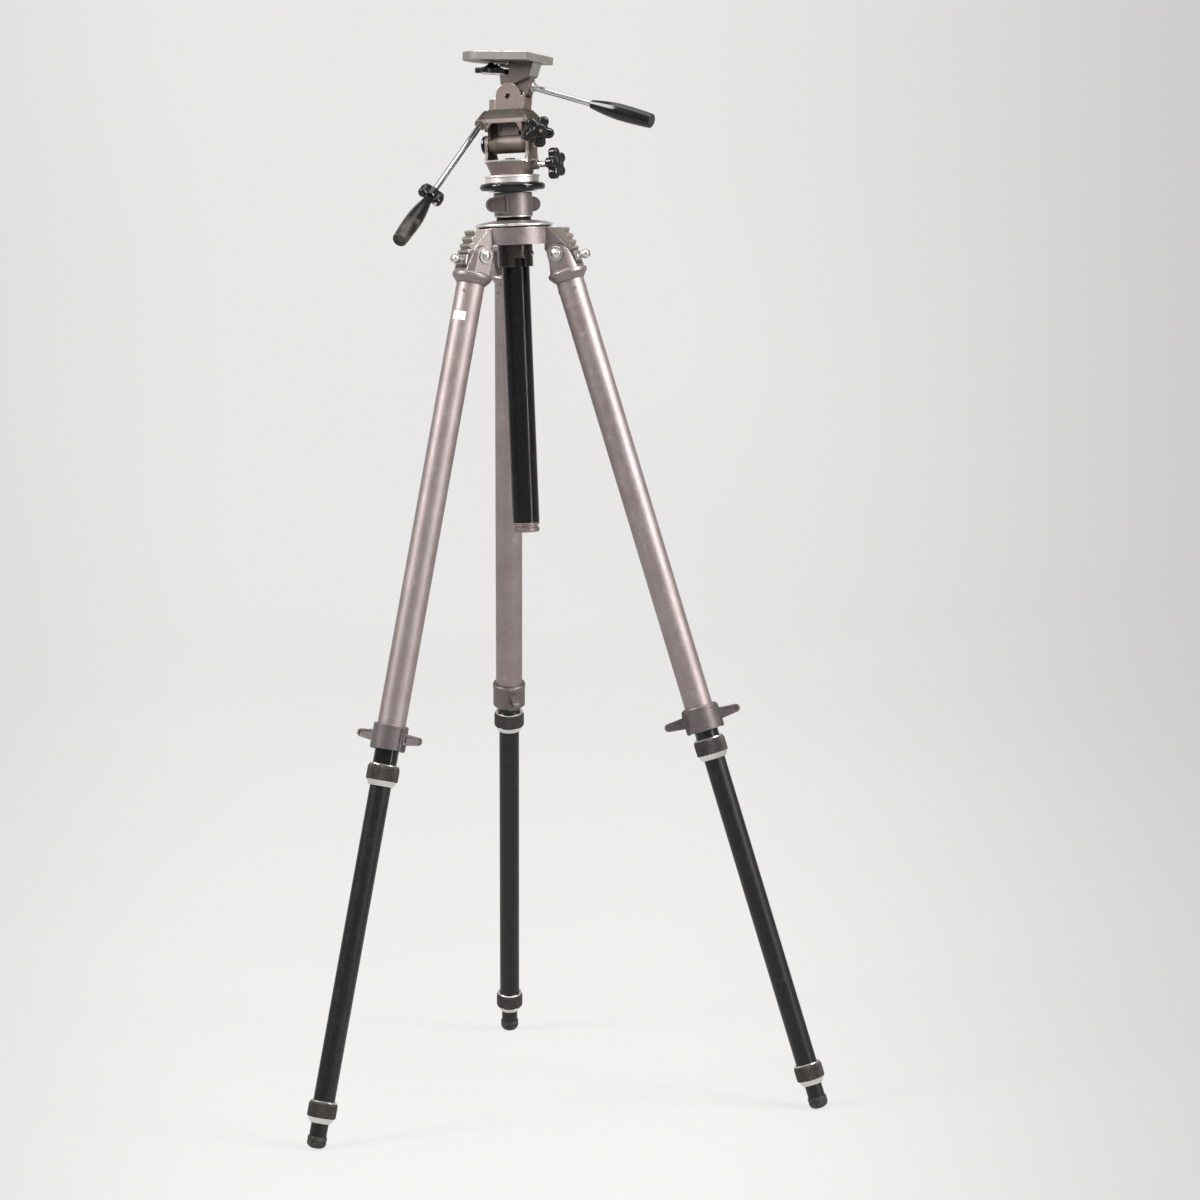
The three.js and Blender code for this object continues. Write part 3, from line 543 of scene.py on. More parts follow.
def moulded_rubber(name):
    """Matt black rubber with dust in it."""
    recipe = Finish(name)
    dust = recipe.grain(5, 5, 0.7)
    fine = recipe.grain(0.4, 3)
    tone = recipe.blend(recipe.step(dust, 0.42, 0.7), (0.009, 0.0088, 0.0085, 1),
                        (0.05, 0.046, 0.042, 1))
    return recipe.surface(
        Base_Color=tone,
        Roughness=0.62 + recipe.between(dust, -0.05, 0.15),
        Normal=recipe.bump(fine, 0.08),
    )


def worn_grip(name):
    """Dark grip whose handled side is rubbed to a dull brown-grey."""
    recipe = Finish(name)
    rubbed = recipe.grain(30, 5, 0.6)
    fine = recipe.grain(1.1, 4, 0.65)
    worn = recipe.step(rubbed + fine * 0.3, 0.62, 0.84)
    tone = recipe.blend(worn, (0.004, 0.0044, 0.0042, 1), (0.06, 0.047, 0.039, 1))
    return recipe.surface(
        Base_Color=tone,
        Roughness=0.17 + worn * 0.3,
        Normal=recipe.bump(fine, 0.05),
        Specular_IOR_Level=0.28,
    )


def paper_patch(name):
    """Blank white sticker, a little grubby."""
    recipe = Finish(name)
    grime = recipe.grain(4, 4, 0.6)
    tone = recipe.blend(recipe.step(grime, 0.45, 0.7), (0.72, 0.71, 0.7, 1), (0.5, 0.49, 0.47, 1))
    return recipe.surface(Base_Color=tone, Roughness=0.55 + recipe.between(grime, 0, 0.1))


def recipes():
    """Each finish's maker and what the maker takes."""
    colours = bpy.context.scene.tripod_colours
    paint, steel = colours.paint, colours.bright_steel
    aged = [part * share for part, share in zip(paint, (0.515, 0.467, 0.415))]
    return {
        "bronze": (painted, dimmed(paint, 0.88), 0.735, 0.85, 0.43),
        "bronze_tube": (painted, paint, 0.8, 0.88, 0.5),
        "bronze_edge": (worn_edge, paint, 0.5),
        "bronze_rim": (worn_edge, paint, 0.4),
        "bronze_satin": (painted, dimmed(paint, 0.68), 0.77, 0.85, 0.46),
        # painted shade: the aged paint darkened further, for faces in recesses, under the platform
        # and between parts
        "bronze_dull": (painted, dimmed(aged, 0.54), 0.76, 0.3, 0.55),
        "cast_bronze": (painted, dimmed(paint, 0.5), 0.715, 0.75, 0.47),
        "cast_rim": (worn_edge, paint, 0.42),
        "head_bronze": (painted, aged, 0.745, 0.38, 0.5),
        "head_edge": (worn_edge, aged, 0.53),
        "head_olive": (painted, (0.046, 0.035, 0.025), 0.745, 0.4, 0.6),
        "olive": (painted, colours.olive_paint, 0.72, 0.6, 0.5),
        "platform": (painted, colours.platform_paint, 0.76, 0.4, 0.52),
        "platform_edge": (worn_edge, colours.platform_paint, 0.46),
        # painted shade: near-black paint laid where shade falls, in hollows, on inner faces and
        # between parts
        "dark_inside": (painted, (0.034, 0.027, 0.021), 0.9, 0.2, 0.65),
        "column_black": (anodised, (0.006, 0.0058, 0.006), 0.16, 0.76),
        "tube_black": (anodised, colours.lower_tube, 0.4, 0.82),
        "sleeve_brown": (anodised, (0.038, 0.028, 0.025), 0.2, 0.78, 0.2),
        "enamel": (gloss_black, 0.1, 0.8),
        "moulding": (gloss_black, 0.1, 0.78),
        "knurl": (knurled_black,),
        "steel": (polished_metal, steel, 0.26),
        "ring_silver": (polished_metal, steel, 0.3, 2, 0.12),
        "disc_silver": (polished_metal, (0.84, 0.77, 0.765), 0.48, 3, 0.3),
        "threads": (polished_metal, (0.09, 0.078, 0.07), 0.4),
        "chrome": (polished_metal, (0.6, 0.585, 0.57), 0.12, 5, 0.25),
        "worn_grip": (worn_grip,),
        "rubber": (moulded_rubber,),
        "patch": (paper_patch,),
    }


def finish(name):
    """The finish of a name, mixed the first time it is asked for."""
    if name not in bpy.data.materials:
        maker, *values = recipes()[name]
        maker(name, *values)
    return bpy.data.materials[name]


def finishes(*names):
    return [finish(name) for name in names]


PAINT = ("bronze", "bronze_edge")
HEAD_PAINT = ("head_bronze", "head_edge")


# ---- Shop tools: common shapes ------------------------------------------------------------------

TUBE_EDGE = 0.4
SWEEP_STEPS = 3


def details():
    return bpy.context.scene.tripod_details


def closed(points):
    return [*points, points[0]]


def raised(points, height):
    return [(across, up + height) for across, up in points]


def tube(name, inner, outer, bottom, top, look, steps):
    """A length of pipe with its ends broken."""
    ease = TUBE_EDGE
    profile = [
        (inner, bottom), (outer - ease, bottom), (outer, bottom + ease), (outer, top - ease),
        (outer - ease, top), (inner, top),
    ]
    return turned(name, closed(profile), finishes(look), steps)


def stub(name, radius, bottom, top, look, steps=40, ease=0.0):
    """A short solid pin along Z."""
    profile = [
        (0, bottom), (radius - ease, bottom), (radius, bottom + ease), (radius, top - ease),
        (radius - ease, top), (0, top),
    ]
    return turned(name, profile, finishes(look), steps)


def lay_flat(piece):
    """Lays a plate drawn upright in XZ down in XY, its thickness up."""
    return turn(piece, 90, "X")


def face_right(piece):
    """Stands a plate drawn in XZ in YZ, or lays a turned piece's axis along X."""
    return turn(piece, 90, "Z")


def along_x(piece):
    return turn(piece, 90, "Y")


def along_y(piece):
    return turn(piece, -90, "X")


def mirrored(half):
    """The right half of an outline, from the bottom up, and its reflection."""
    return [*half, *[(-x, z) for x, z in reversed(half)]]


def paint_where(piece, index, test):
    """Gives the faces that pass a test on middle and normal another of the piece's finishes."""
    for face in piece.data.polygons:
        if test(face.center, face.normal):
            face.material_index = index
    return piece


def joined(piece, *others):
    """Makes several finished shells one piece."""
    pick(piece)
    for other in others:
        other.select_set(True)
    bpy.ops.object.join()
    return piece


def lobed(lobes, tip, reach, valley, sweep=95, steps=10):
    """Outline of a hand knob: round lobes with valleys between them."""
    points = []
    for i in range(lobes):
        heading = 360 * i / lobes
        middle = math.radians(heading)
        centre = reach - tip
        centre_x, centre_y = centre * math.cos(middle), centre * math.sin(middle)
        points += arc(centre_x, centre_y, tip, heading - sweep, heading + sweep, steps)
        dip = middle + math.pi / lobes
        points.append((valley * math.cos(dip), valley * math.sin(dip)))
    return points


def swept(points):
    """Runs a smooth line through profile points, in SWEEP_STEPS between each two."""
    line = []
    ends = [points[0], *points, points[-1]]
    for a, b, c, d in zip(ends, ends[1:], ends[2:], ends[3:]):
        for i in range(SWEEP_STEPS):
            t = i / SWEEP_STEPS
            line.append(tuple(
                0.5 * (2 * q + (r - p) * t + (2 * p - 5 * q + 4 * r - s) * t**2
                       + (3 * q - p - 3 * r + s) * t**3)
                for p, q, r, s in zip(a, b, c, d)
            ))
    return [*line, points[-1]]


# ---- Crown: everything here is drawn from the column's axis at the height of the leg pivots -----

LEG_PIVOT = (joint_point("leg_left_fold") - joint_point("pan")).xy.length / MM
LUG_WIDTH = 22
WEB_WIDTH = 27
RING_R = 50.5
RING_TOP = 36
RING_BOTTOM = 14


def crown_arm(name, side):
    """Toothed lug between a leg's ears, with the wider web that ties it to the ring."""
    root = RING_R - LEG_PIVOT - 4
    lug = [
        (root, RING_BOTTOM), (root, RING_TOP - 1), (4.5, 34.6), (8, 33.9), (8.6, 33), (8.1, 30.2),
        (6.6, 27.2), (10.8, 26.2), (13.2, 24.6), (13.5, 23.5), (12.4, 20.6), (11, 18.4),
        (14.6, 17.7), (17.1, 16), (17.3, 14.8), (16.1, 12), (14.6, 10.2), (18, 9.8), (20.8, 8.1),
        (20.9, 7), (18.8, 4.4), *arc(0, 0, 12, -10, -150, 12), (-20, 6),
    ]
    web = [
        (root, RING_BOTTOM), (root, RING_TOP - 1), (-12, 34), (12.5, 9),
        *arc(0, 0, 14.2, 34, 140, 10), (-18, RING_BOTTOM - 2),
    ]
    look = finishes("bronze", "bronze_rim", "olive")
    arm = plate(name, web, WEB_WIDTH, look)
    toothed = paint_where(plate("lug", lug, LUG_WIDTH, look), 2, lambda middle, normal: True)
    arm = added(arm, toothed)
    shift(arm, x=LEG_PIVOT)
    return turn(arm, math.degrees(crown_azimuth(side)))


def crown_casting():
    cup = closed([
        (27.4, 14.6), (27.4, 31), (45.5, 31), (45.5, RING_BOTTOM), (RING_R, RING_BOTTOM),
        (RING_R, RING_TOP), (24, RING_TOP), (24, 14.6),
    ])
    casting = turned("crown_casting_body", cup, finishes("bronze", "bronze_rim", "olive"), 96)
    casting = added(casting, *[crown_arm("web", side) for side in SIDES])
    casting = cut(casting, stub("bore", 23.9, 0, 50, "bronze", 64))
    softened(casting, details().edge / MM)
    seated(casting, column_frame(), "crown", ["crown_casting"])


def crown_disc():
    rim = arc(50.2, 3.2, 1.75, -60, 78, 6)
    section = closed([(24, 0), (46, 0), *rim, (41, 7.2), (29, 9.2), (24.6, 9.6), (24, 9.2)])
    disc = turned("crown_disc", raised(section, RING_TOP + 0.3), finishes("bronze", "bronze_rim"),
                  96)
    paint_where(disc, 1, lambda middle, normal: middle.xy.length > 49.6)
    seated(disc, column_frame(), "crown", ["crown_top_disc"], smooth=40)


def guide_sleeve():
    profile = closed([(19.2, -15.3), (22.9, -15.3), (23.4, -14.8), (23.4, 34), (19.2, 34)])
    sleeve = turned("guide_sleeve", profile, finishes("sleeve_brown", "steel"), 72)
    window = turn(block("window", (14, -6.7, -20), (26, 6.7, -4), finishes("steel")), -84)
    sleeve = cut(sleeve, window)
    softened(sleeve, 0.35, worn=False)
    seated(sleeve, column_frame(), "crown", ["crown_sleeve"])
    screw = turned("sleeve_screw", [(0, 0), (3.4, 0), (3.4, 0.6), *arc(0, -1.4, 4.0, 30, 90, 5)],
                   finishes("steel"), 32)
    screw = cut(screw, block("slot", (-5, -0.35, 1.9), (5, 0.35, 4), finishes("steel")))
    shift(along_x(screw), 23.3, 0, 2)
    seated(turn(screw, -28), column_frame(), "crown")


def collet():
    """Threaded collet that the lock collar turns on."""
    profile = [(18.8, 34.5), (22.8, 34.5)]
    for height in range(36, 50, 2):
        profile += raised([(23.3, 0.5), (22.3, 1.5)], height)
    profile += [(23.2, 51), (23.2, 79), (22.6, 79.5), (18.8, 79.5)]
    piece = turned("column_collet_threads", closed(profile), finishes("threads"), 72)
    seated(piece, column_frame(), "crown", ["column_collet"])


def lock_paddle(name, recessed):
    """One of the two wings of the column's lock; the one in front has a sunk field in painted
    shade.
    """
    root = 6.4 if recessed else 14
    outline = [
        (root, -13.4), (23, -10.6), *arc(26.4, -0.6, 9.8, -75, 80, 16), (20, 10.6), (root, 13),
    ]
    paddle = plate(name, outline, 6, finishes(*PAINT, "bronze_dull"))
    if recessed:
        field = [
            (8.6, -11), (22.6, -8.6), *arc(26.2, -0.6, 7.6, -75, 80, 12), (19.8, 8.6), (8.6, 10.6),
        ]
        paddle = cut(paddle, plate("field", field, 4, finishes("bronze"), base=1.4))
        # painted shade in the sunk field
        paint_where(paddle, 2, lambda middle, normal: 1.2 < middle.y < 2.9)
    return shift(paddle, y=23.4 if recessed else 20, z=67.3)


def column_lock():
    profile = closed([
        (23.9, 50), (25, 50), (25.4, 50.5), (25.4, 51.6), (25.1, 52), (25.4, 52.4), (25.4, 81.7),
        (24.8, 82.5), (23.9, 82.5),
    ])
    collar = turned("column_lock_body", profile,
                    finishes("bronze_satin", "bronze_rim", "bronze_dull"), 80)
    paint_where(collar, 1, lambda middle, normal: middle.z < 51.8)
    front = turn(lock_paddle("front_paddle", True), 180)
    collar = added(collar, front, lock_paddle("back_paddle", False))
    collar = cut(collar, stub("bore", 23.8, 40, 100, "bronze", 64))
    softened(collar, 0.8)
    turn(collar, -8)
    seated(collar, column_frame(), "column_lock", ["column_lock_collar"])


# ---- Column: drawn from the same place ----------------------------------------------------------

COLUMN_R = 18.2
COLUMN_BOTTOM = -354
COLUMN_TOP = 83
PLATE_TOP = 96


def column_pieces():
    place = column_frame()
    pole = tube("column_pole", COLUMN_R - 2, COLUMN_R, COLUMN_BOTTOM, COLUMN_TOP, "column_black",
                72)
    seated(pole, place, "column", ["column_tube"])

    end = COLUMN_BOTTOM
    cap = [
        (0, -13), (14.6, -13), *arc(16, -11.2, 1.8, -90, 0, 4), (17.8, -8), (17.2, -7.2),
        (16, -6.6), (16, -4.2), (17, -3.6), (18, -2.8), (18, -0.8), (17.6, -0.3), (15.6, -0.3),
        (15.6, 14), (0, 14),
    ]
    plug = turned("column_cap", raised(cap, end), finishes("bronze", "bronze_edge"), 64)
    paint_where(plug, 1, lambda middle, normal: end - 3.5 < middle.z < end - 2.6)
    seated(plug, place, "column", ["column_end_cap"])

    dish = [(0, 0.3), (30, 0.3), (35, 2), *arc(38.4, 6.8, 5.0, -70, 86, 12), (34, 11.8), (0, 11.8)]
    dish = turned("column_dish", raised(dish, COLUMN_TOP), finishes("enamel"), 96)
    seated(dish, place, "column", ["column_plate"], smooth=50)

    disc = [(0, -1), (34.8, -1), (35.2, -0.5), (35.2, 5.6), (36.2, 6.2), (36.4, 7), (36.2, 8.4)]
    disc = turned("pan_plate", raised([*disc, (35, 9.2), (0, 9.2)], PLATE_TOP),
                  finishes("disc_silver"), 96)
    seated(disc, place, "column", ["pan_disc"])


# ---- Legs: drawn from each leg's pivot, Z up the leg and X outwards -----------------------------

MAIN_R = 18.5
MIDDLE_R = 15.75
LOWER_R = 14
FOOT_R = 11.25
TUBE_TOP = -37.3
TUBE_BOTTOM = -642.7
WING_TOP = -622
WING_BOTTOM = -655
RING_HEIGHT = 29
RING_GAP = 0.15
UPPER_RING_R = 21
LOWER_RING_R = 18.75
RING_SEAT = 9.3 - RING_HEIGHT
LEG_END = -1175
PAD_HEIGHT = 16
FOOT_SHOWS = 17
MIDDLE_LENGTH = 600
LOWER_LENGTH = 490
FOOT_LENGTH = 450
RIDGE_DEPTH = 0.5
MIDDLE_SHOWS = {"left": 19, "right": 10, "back": 10}
WING_TURN = {"left": -75, "right": 21, "back": 4}
LOWER_RING_TOP = LEG_END + PAD_HEIGHT + FOOT_SHOWS + RING_HEIGHT


def turned_wing(collar, side):
    return turn(collar, WING_TURN[side])


def under_wing(piece, side):
    """Lowers what is drawn from the top of an upper lock ring to its place on a leg."""
    return shift(piece, z=WING_BOTTOM - MIDDLE_SHOWS[side])


def for_each_leg(first, body, stands_for=None, fitted=None):
    """Seats a piece and its copies on the legs, each fitted to its leg.

    The piece, its body and the node it stands for all end in the leg's side."""
    name = first.name
    for side, piece in zip(SIDES, [first, *[twin(first, name) for _ in SIDES[1:]]]):
        piece.name = piece.data.name = f"{name}_{side}"
        if fitted:
            fitted(piece, side)
        nodes = [f"{stands_for}_{side}"] if stands_for else ()
        seated(piece, leg_frame(side), f"{body}_{side}", nodes)


def leg_head():
    """Forked casting: flange, cone and two ears in one."""
    collar = [
        (0, -60), (16.2, -60), (16.2, -37), (19.1, -37), (19.6, -36.6), (25.2, -29.6),
        (25.9, -28.6), (26.1, -25.4), (25.6, -24.4), (24.2, -23.6), (22.4, -22), (0, -22),
    ]
    casting = turned("leg_head", collar, finishes(*PAINT), 72)
    ear = [
        (-18.2, -24), (-15.6, -18), (-13.2, -9), (-12.8, -3), *arc(0, 0, 12.8, 188, 40, 20),
        (14.6, 4.6), (16.6, 1), (18.4, -8), (19.6, -18), (20.4, -24),
    ]
    ears = plate("ears", ear, 43, finishes(*PAINT))
    ears = common(ears, stub("round", 24.5, -24, 20, "bronze", 72))
    casting = added(casting, ears)
    casting = cut(casting, block("fork", (-32, -11.8, -19.5), (32, 11.8, 22), finishes("bronze")))
    return softened(casting, 1.0, segments=3)


def pivot_bolt():
    """Washers and domed nuts at both ends of one bolt."""
    end = [(5, 0), (9.4, 0), (9.8, 0.4), (9.8, 1.2), (9.3, 1.6), (6.4, 1.6), (6.4, 2.6), (6.0, 3.1)]
    end = raised([*end, *arc(0, -0.4, 6.3, 40, 90, 6)], 21.8)
    profile = [*[(r, -y) for r, y in reversed(end)], *end]
    return along_y(turned("leg_bolt", profile, finishes("steel"), 48))


def stop_catch():
    """Sprung pawl under the lug's teeth, with its pull knob."""
    side = [
        (10.5, -18.6), (16.5, -18.6), (21.4, -14.5), (21.9, -3), (21.2, -2.2), (19.8, -2.2),
        (18.5, -5.4), (13.4, -6.2), (12.2, -10),
    ]
    pawl = plate("catch_pawl", side, LUG_WIDTH, finishes("olive", "bronze_edge"))
    eased(pawl, 0.7)
    pull = [
        (0, 0), (2.5, 0), (2.5, 7.4), (3.4, 8), (5.0, 8.6),
        *swept([(5.4, 9.2), (6, 12), (5.9, 15), (4.4, 17.8)]), (3.2, 18.4), (0, 18.6),
    ]
    knob = turned("catch_knob", pull, finishes("steel"), 40)
    shift(along_x(knob), 19, 0, -10.5)
    washer = stub("catch_washer", 4.6, 0, 1.2, "steel", 32, 0.3)
    shift(along_x(washer), 21.2, 0, -10.5)
    pin = along_y(stub("catch_pin", 2.2, -11.6, 11.6, "steel", 24, 0.4))
    return joined(pawl, knob, washer, shift(pin, 14, 0, -14.5))


def tube_rivets():
    """Four domed rivets a little below the flange, each with painted shade in the hollow in its
    middle.
    """
    reach = details().rivet / MM / 2
    dome = [
        (0, -1), (reach, -1), (reach, 0.2), *arc(reach - 0.5, 0.3, 0.5, 20, 110, 5), (1.1, 0.5),
        (1.0, 0), (0, 0),
    ]
    rivets = []
    for bearing in (31, 121, 211, 301):
        rivet = turned("rivet", dome, finishes("bronze_tube", "dark_inside"), 24)
        # painted shade in each rivet's hollow
        paint_where(rivet, 1, lambda middle, normal: middle.xy.length < 1.06 and middle.z > -0.5)
        shift(along_x(rivet), MAIN_R, 0, TUBE_TOP - 11.5)
        rivets.append(turn(rivet, bearing))
    rivets[0].name = "leg_rivets"
    return joined(*rivets)


def wing_collar():
    """Clamp collar with a lip at each end, two ribs and two tapered wings with sunk panels."""
    worn = finishes("cast_bronze", "cast_rim")
    section = [
        (16.2, 0), (21.8, 0), (22.4, 0.6), (22.4, 27.4), (22.9, 28), (22.9, 31.4), (21.9, 33),
        (18.9, 33), (18.9, 12), (16.2, 12),
    ]
    collar = turned("wing_collar", closed(raised(section, WING_BOTTOM)), worn, 72)
    middle = (WING_TOP + WING_BOTTOM) / 2
    rib = [
        (19.2, -16), *arc(22.6, -14.6, 2.9, -120, 0, 6), (25.3, 8), (24.4, 14), (22, 15.4),
        (19.2, 15.4),
    ]
    blade = [(20, -8.5), (44, -5.6), *arc(46.2, 0, 5.3, -80, 80, 12), (20, 7.5)]
    panel = [(29, -4.6), (44.6, -3), *arc(45.6, 0, 3.0, -80, 80, 8), (29, 4.2)]
    rib, blade, panel = [raised(outline, middle) for outline in (rib, blade, panel)]
    for heading in (0, 180):
        wing = plate("wing", blade, 8, worn)
        for face in (2.4, -6.4):
            wing = cut(wing, plate("panel", panel, 4, worn, base=face))
        wing = added(wing, plate("rib", rib, 10.5, worn))
        collar = added(collar, turn(wing, heading))
    collar = cut(collar, stub("bore", 18.8, -642.9, -600, "bronze", 64))
    return softened(collar, 0.9)


def lock_ring(name, top, outer, upper, lower):
    """Silver ring with a chamfered lip and a cone, and a finely ridged black band round it."""
    bottom = top - RING_HEIGHT + RING_GAP
    top -= RING_GAP
    body = closed([
        (lower + 0.4, bottom), (lower + 2, bottom), (lower + 2.6, bottom + 0.5),
        (outer - 1.5, bottom + 6.6), (outer - 1.0, bottom + 7.2), (outer - 1.6, bottom + 8),
        (outer - 2.4, top - 2), (outer - 1.5, top - 1.7), (outer - 1.7, top - 0.5),
        (outer - 2.4, top), (upper + 0.4, top), (upper + 0.4, bottom + 9),
        (lower + 0.4, bottom + 9),
    ])
    ring = turned(name, body, finishes("ring_silver"), 72)
    low, high = bottom + 7.4, top - 1.8
    band = closed([
        (outer - 2, low), (outer - 0.7, low), (outer - 0.1, low + 0.9), (outer, (low + high) / 2),
        (outer - 0.1, high - 3.4), (outer - 1.3, high - 0.5), (outer - 1.8, high),
        (outer - 2, high),
    ])
    ridges = details().ridges
    grip = turned("knurled_band", band, finishes("knurl"), 2 * ridges)
    pick(grip)
    edit_all()
    bpy.ops.mesh.select_all(action="DESELECT")
    object_mode()
    for corner in grip.data.vertices:
        place = round(math.atan2(corner.co.y, corner.co.x) * ridges / math.pi)
        corner.select = place % 2 == 1 and corner.co.xy.length > outer - 1.9
    bpy.ops.object.mode_set(mode="EDIT")
    depth = 1 - RIDGE_DEPTH / outer
    bpy.ops.transform.resize(value=(depth, depth, 1), center_override=(0, 0, 0))
    object_mode()
    return joined(ring, grip)


def leg_tubes():
    main = tube("leg_tube", MAIN_R - 1.8, MAIN_R, TUBE_BOTTOM, TUBE_TOP, "bronze_tube", 72)
    for_each_leg(main, "leg", "main_tube")
    low = RING_SEAT
    middle = tube("middle_section", MIDDLE_R - 1.2, MIDDLE_R, low, low + MIDDLE_LENGTH,
                  "column_black", 64)
    for_each_leg(middle, "middle", "middle_tube", under_wing)
    low = LOWER_RING_TOP + RING_SEAT
    lower = tube("lower_section", LOWER_R - 1.5, LOWER_R, low, low + LOWER_LENGTH, "tube_black", 64)
    for_each_leg(lower, "lower", "lower_tube")
    low = LEG_END + PAD_HEIGHT + 0.3
    foot = tube("foot_section", FOOT_R - 1.5, FOOT_R, low, low + FOOT_LENGTH, "tube_black", 48)
    for_each_leg(foot, "foot", "foot_tube")


def rubber_foot():
    pad = [
        (0, 0.2), (6.2, 0.6), (9.8, 2.2), (11.8, 4.6), (12.5, 7), (12.6, 8.6), (11.9, 9),
        (11.9, 9.8), (12.6, 10.2), (12.6, 14.4), (12.3, 15.5), (11.7, PAD_HEIGHT), (0, PAD_HEIGHT),
    ]
    return turned("foot_pad", raised(pad, LEG_END), finishes("rubber"), 64)


def sticker():
    """Small blank label that follows the left leg's tube."""
    bend = MAIN_R + 0.12
    strip = closed([*arc(0, 0, bend, -29, 29, 16), *arc(0, 0, MAIN_R - 0.2, 29, -29, 16)])
    patch = lay_flat(plate("blank_sticker", strip[:-1], 11.5, finishes("patch")))
    turn(patch, 27)
    seated(shift(patch, z=-82), leg_frame("left"), "leg_left")


# ---- Head ---------------------------------------------------------------------------------------
# The pan base stands level. What tilts is drawn in a frame that nods with it, what leans sideways
# in one that leans too.


BASE_BOTTOM = -40.5
BASE_TOP = -21
ARM_INNER = 28
ARM_OUTER = 34
CLAMP_START = (34.5, -1.5, 14)
CLAMP_BEARING = -40
BARREL_R = 12.8
ROD_R = 4
ROD_BORE = 4.3


def pan_base():
    cone = [
        (0, BASE_BOTTOM), (27.6, BASE_BOTTOM), (28.2, -39.9), (28.3, -37.8), (29, -35.6),
        (31, -31.6), (33.7, -24.8), (34.1, -23.4), (35, -22.9), (35, -21.5), (34.4, BASE_TOP),
        (0, BASE_TOP),
    ]
    base = turned("pan_fork", cone, finishes(*HEAD_PAINT, "bronze_rim", "dark_inside"), 88)
    for side, rise in ((-1, 0), (1, 6)):
        arm = [
            (-18, -25), (-15.4, -19.5), (-13, -14), (-12.5, -9), *arc(0, rise, 12.5, 180, 0, 28),
            (12.5, -9), (13, -14), (15.4, -19.5), (18, -25),
        ]
        slab = face_right(plate("arm", arm, ARM_OUTER - ARM_INNER, finishes(*HEAD_PAINT)))
        shift(slab, x=side * (ARM_INNER + ARM_OUTER) / 2)
        base = added(base, common(slab, stub("round", 35.1, -40, 40, "head_bronze", 88)))
    boss = shift(along_x(stub("boss", 6.5, 0, 9.5, "head_bronze", 40, 0.6)), 30, 0, -28.5)
    clamp = turn(along_x(stub("boss", 7.3, -1, 7.5, "head_bronze", 40, 0.6)), CLAMP_BEARING)
    base = added(base, boss, shift(clamp, *CLAMP_START))
    softened(base, 0.9)
    paint_where(base, 2, lambda middle, normal: middle.xy.length > 34.2
                and -23.3 < middle.z < -20.9)
    # painted shade on the inner faces of the fork's arms
    paint_where(base, 3, lambda middle, normal: abs(middle.x) < 28.3 and middle.z > -19
                and abs(normal.x) > 0.9)
    seated(base, head_frame(), "pan", ["pan_base"])
    bolt = [(0, BASE_TOP), (7.4, BASE_TOP), (7.4, -19), (6.8, -18.5), (0, -18.5)]
    hexagon = turned("pan_bolt_head", bolt, finishes("threads"), 6)
    seated(shift(hexagon, -3, 2), head_frame(), "pan", smooth=20)


def star_knob(name, wheel, stem_start):
    """Five-lobed hand knob on a screw; the wheel and the stem start at heights along it."""
    outline = lobed(5, 6.9, 21.2, 11.8, 88, 12)
    star = lay_flat(plate(name, outline, 12.6, finishes("moulding"), base=wheel))
    eased(star, 5.2, 7, 50, worn=False)
    hub = [
        (0, -4), (6.6, -4), (8.2, -2.6), (10, 1), (10, 11), *arc(7.4, 11.8, 2.4, 0, 80, 5),
        (0, 14.4),
    ]
    star = added(star, turned("hub", raised(hub, wheel), finishes("moulding"), 48))
    screw = stub("screw", 4, stem_start, wheel - 3.4, "steel", 40, 0.5)
    tip = stub("tip", 2.6, wheel + 13.6, wheel + 15, "threads", 32, 0.4)
    return joined(star, screw, tip)


def lock_knobs():
    pan_lock = star_knob("pan_lock_star", 19, -20)
    seated(turn(pan_lock, -22), line_frame("pan_lock_turn"), "pan_lock",
           ["pan_lock_knob"])
    tilt_lock = star_knob("tilt_lock_star", 13, 4.2)
    seated(turn(tilt_lock, 6), line_frame("tilt_lock_turn"), "tilt_lock",
           ["tilt_lock_knob"])


def tilt_barrel():
    side = [
        (12.4, 21.4), (11.9, 21.8), (11.9, 22.5), (BARREL_R, 22.9), (BARREL_R, 26.5), (12.3, 27),
    ]
    profile = [(6.3, -27), *[(r, -y) for r, y in reversed(side)], *side, (6.3, 27)]
    barrel = turned("tilt_drum", closed(profile),
                    finishes("head_bronze", "bronze_rim", "bronze_dull"), 72)
    paint_where(barrel, 1, lambda middle, normal: 22.4 < abs(middle.z) < 23.1)
    # painted shade on the drum's ends, between the fork's arms
    paint_where(barrel, 2, lambda middle, normal: abs(middle.z) > 23.1)
    seated(along_x(barrel), nod_frame(), "tilt", ["tilt_barrel"])
    axle = stub("tilt_axle_pin", 6, -34.6, 36.5, "steel", 48, 1)
    seated(along_x(axle), nod_frame(), "tilt", ["tilt_axle"])
    cap = [
        (0, -39), (10.2, -39), *arc(10.8, -37.4, 1.6, -90, 0, 5), (12.4, -35.4), (12, -35),
        (0, -35),
    ]
    cover = turned("tilt_axle_cap", cap, finishes("moulding"), 56)
    seated(along_x(cover), nod_frame(), "tilt", ["tilt_end_cap"])


HANDLE_MOUTH = (-33, -23.5, 24)
HANDLE_DROP = 37.5
HOOD_BOTTOM = 26
HOOD_TOP = 44.3
HOOD_CREASE = 37


def on_tilt_handle(piece):
    return shift(turn(piece, 90 + HANDLE_DROP, "X"), *HANDLE_MOUTH)


def within(middle, across, deep, top):
    return abs(middle.x) < across and abs(middle.y) < deep and middle.z < top


def hood_arch():
    """The outline of the hood's front and back walls, with a wide notch over the drum."""
    corner = [(24.6, 15), (27.5, 15), (27.5, HOOD_BOTTOM + 4.4)]
    notch = [
        (-23.6, 19), *arc(-15.5, 19.6, 6.4, 165, 95, 6), *arc(15.5, 19.6, 6.4, 85, 15, 6),
        (23.6, 19),
    ]
    return [*corner, *[(-x, z) for x, z in reversed(corner)], *notch]


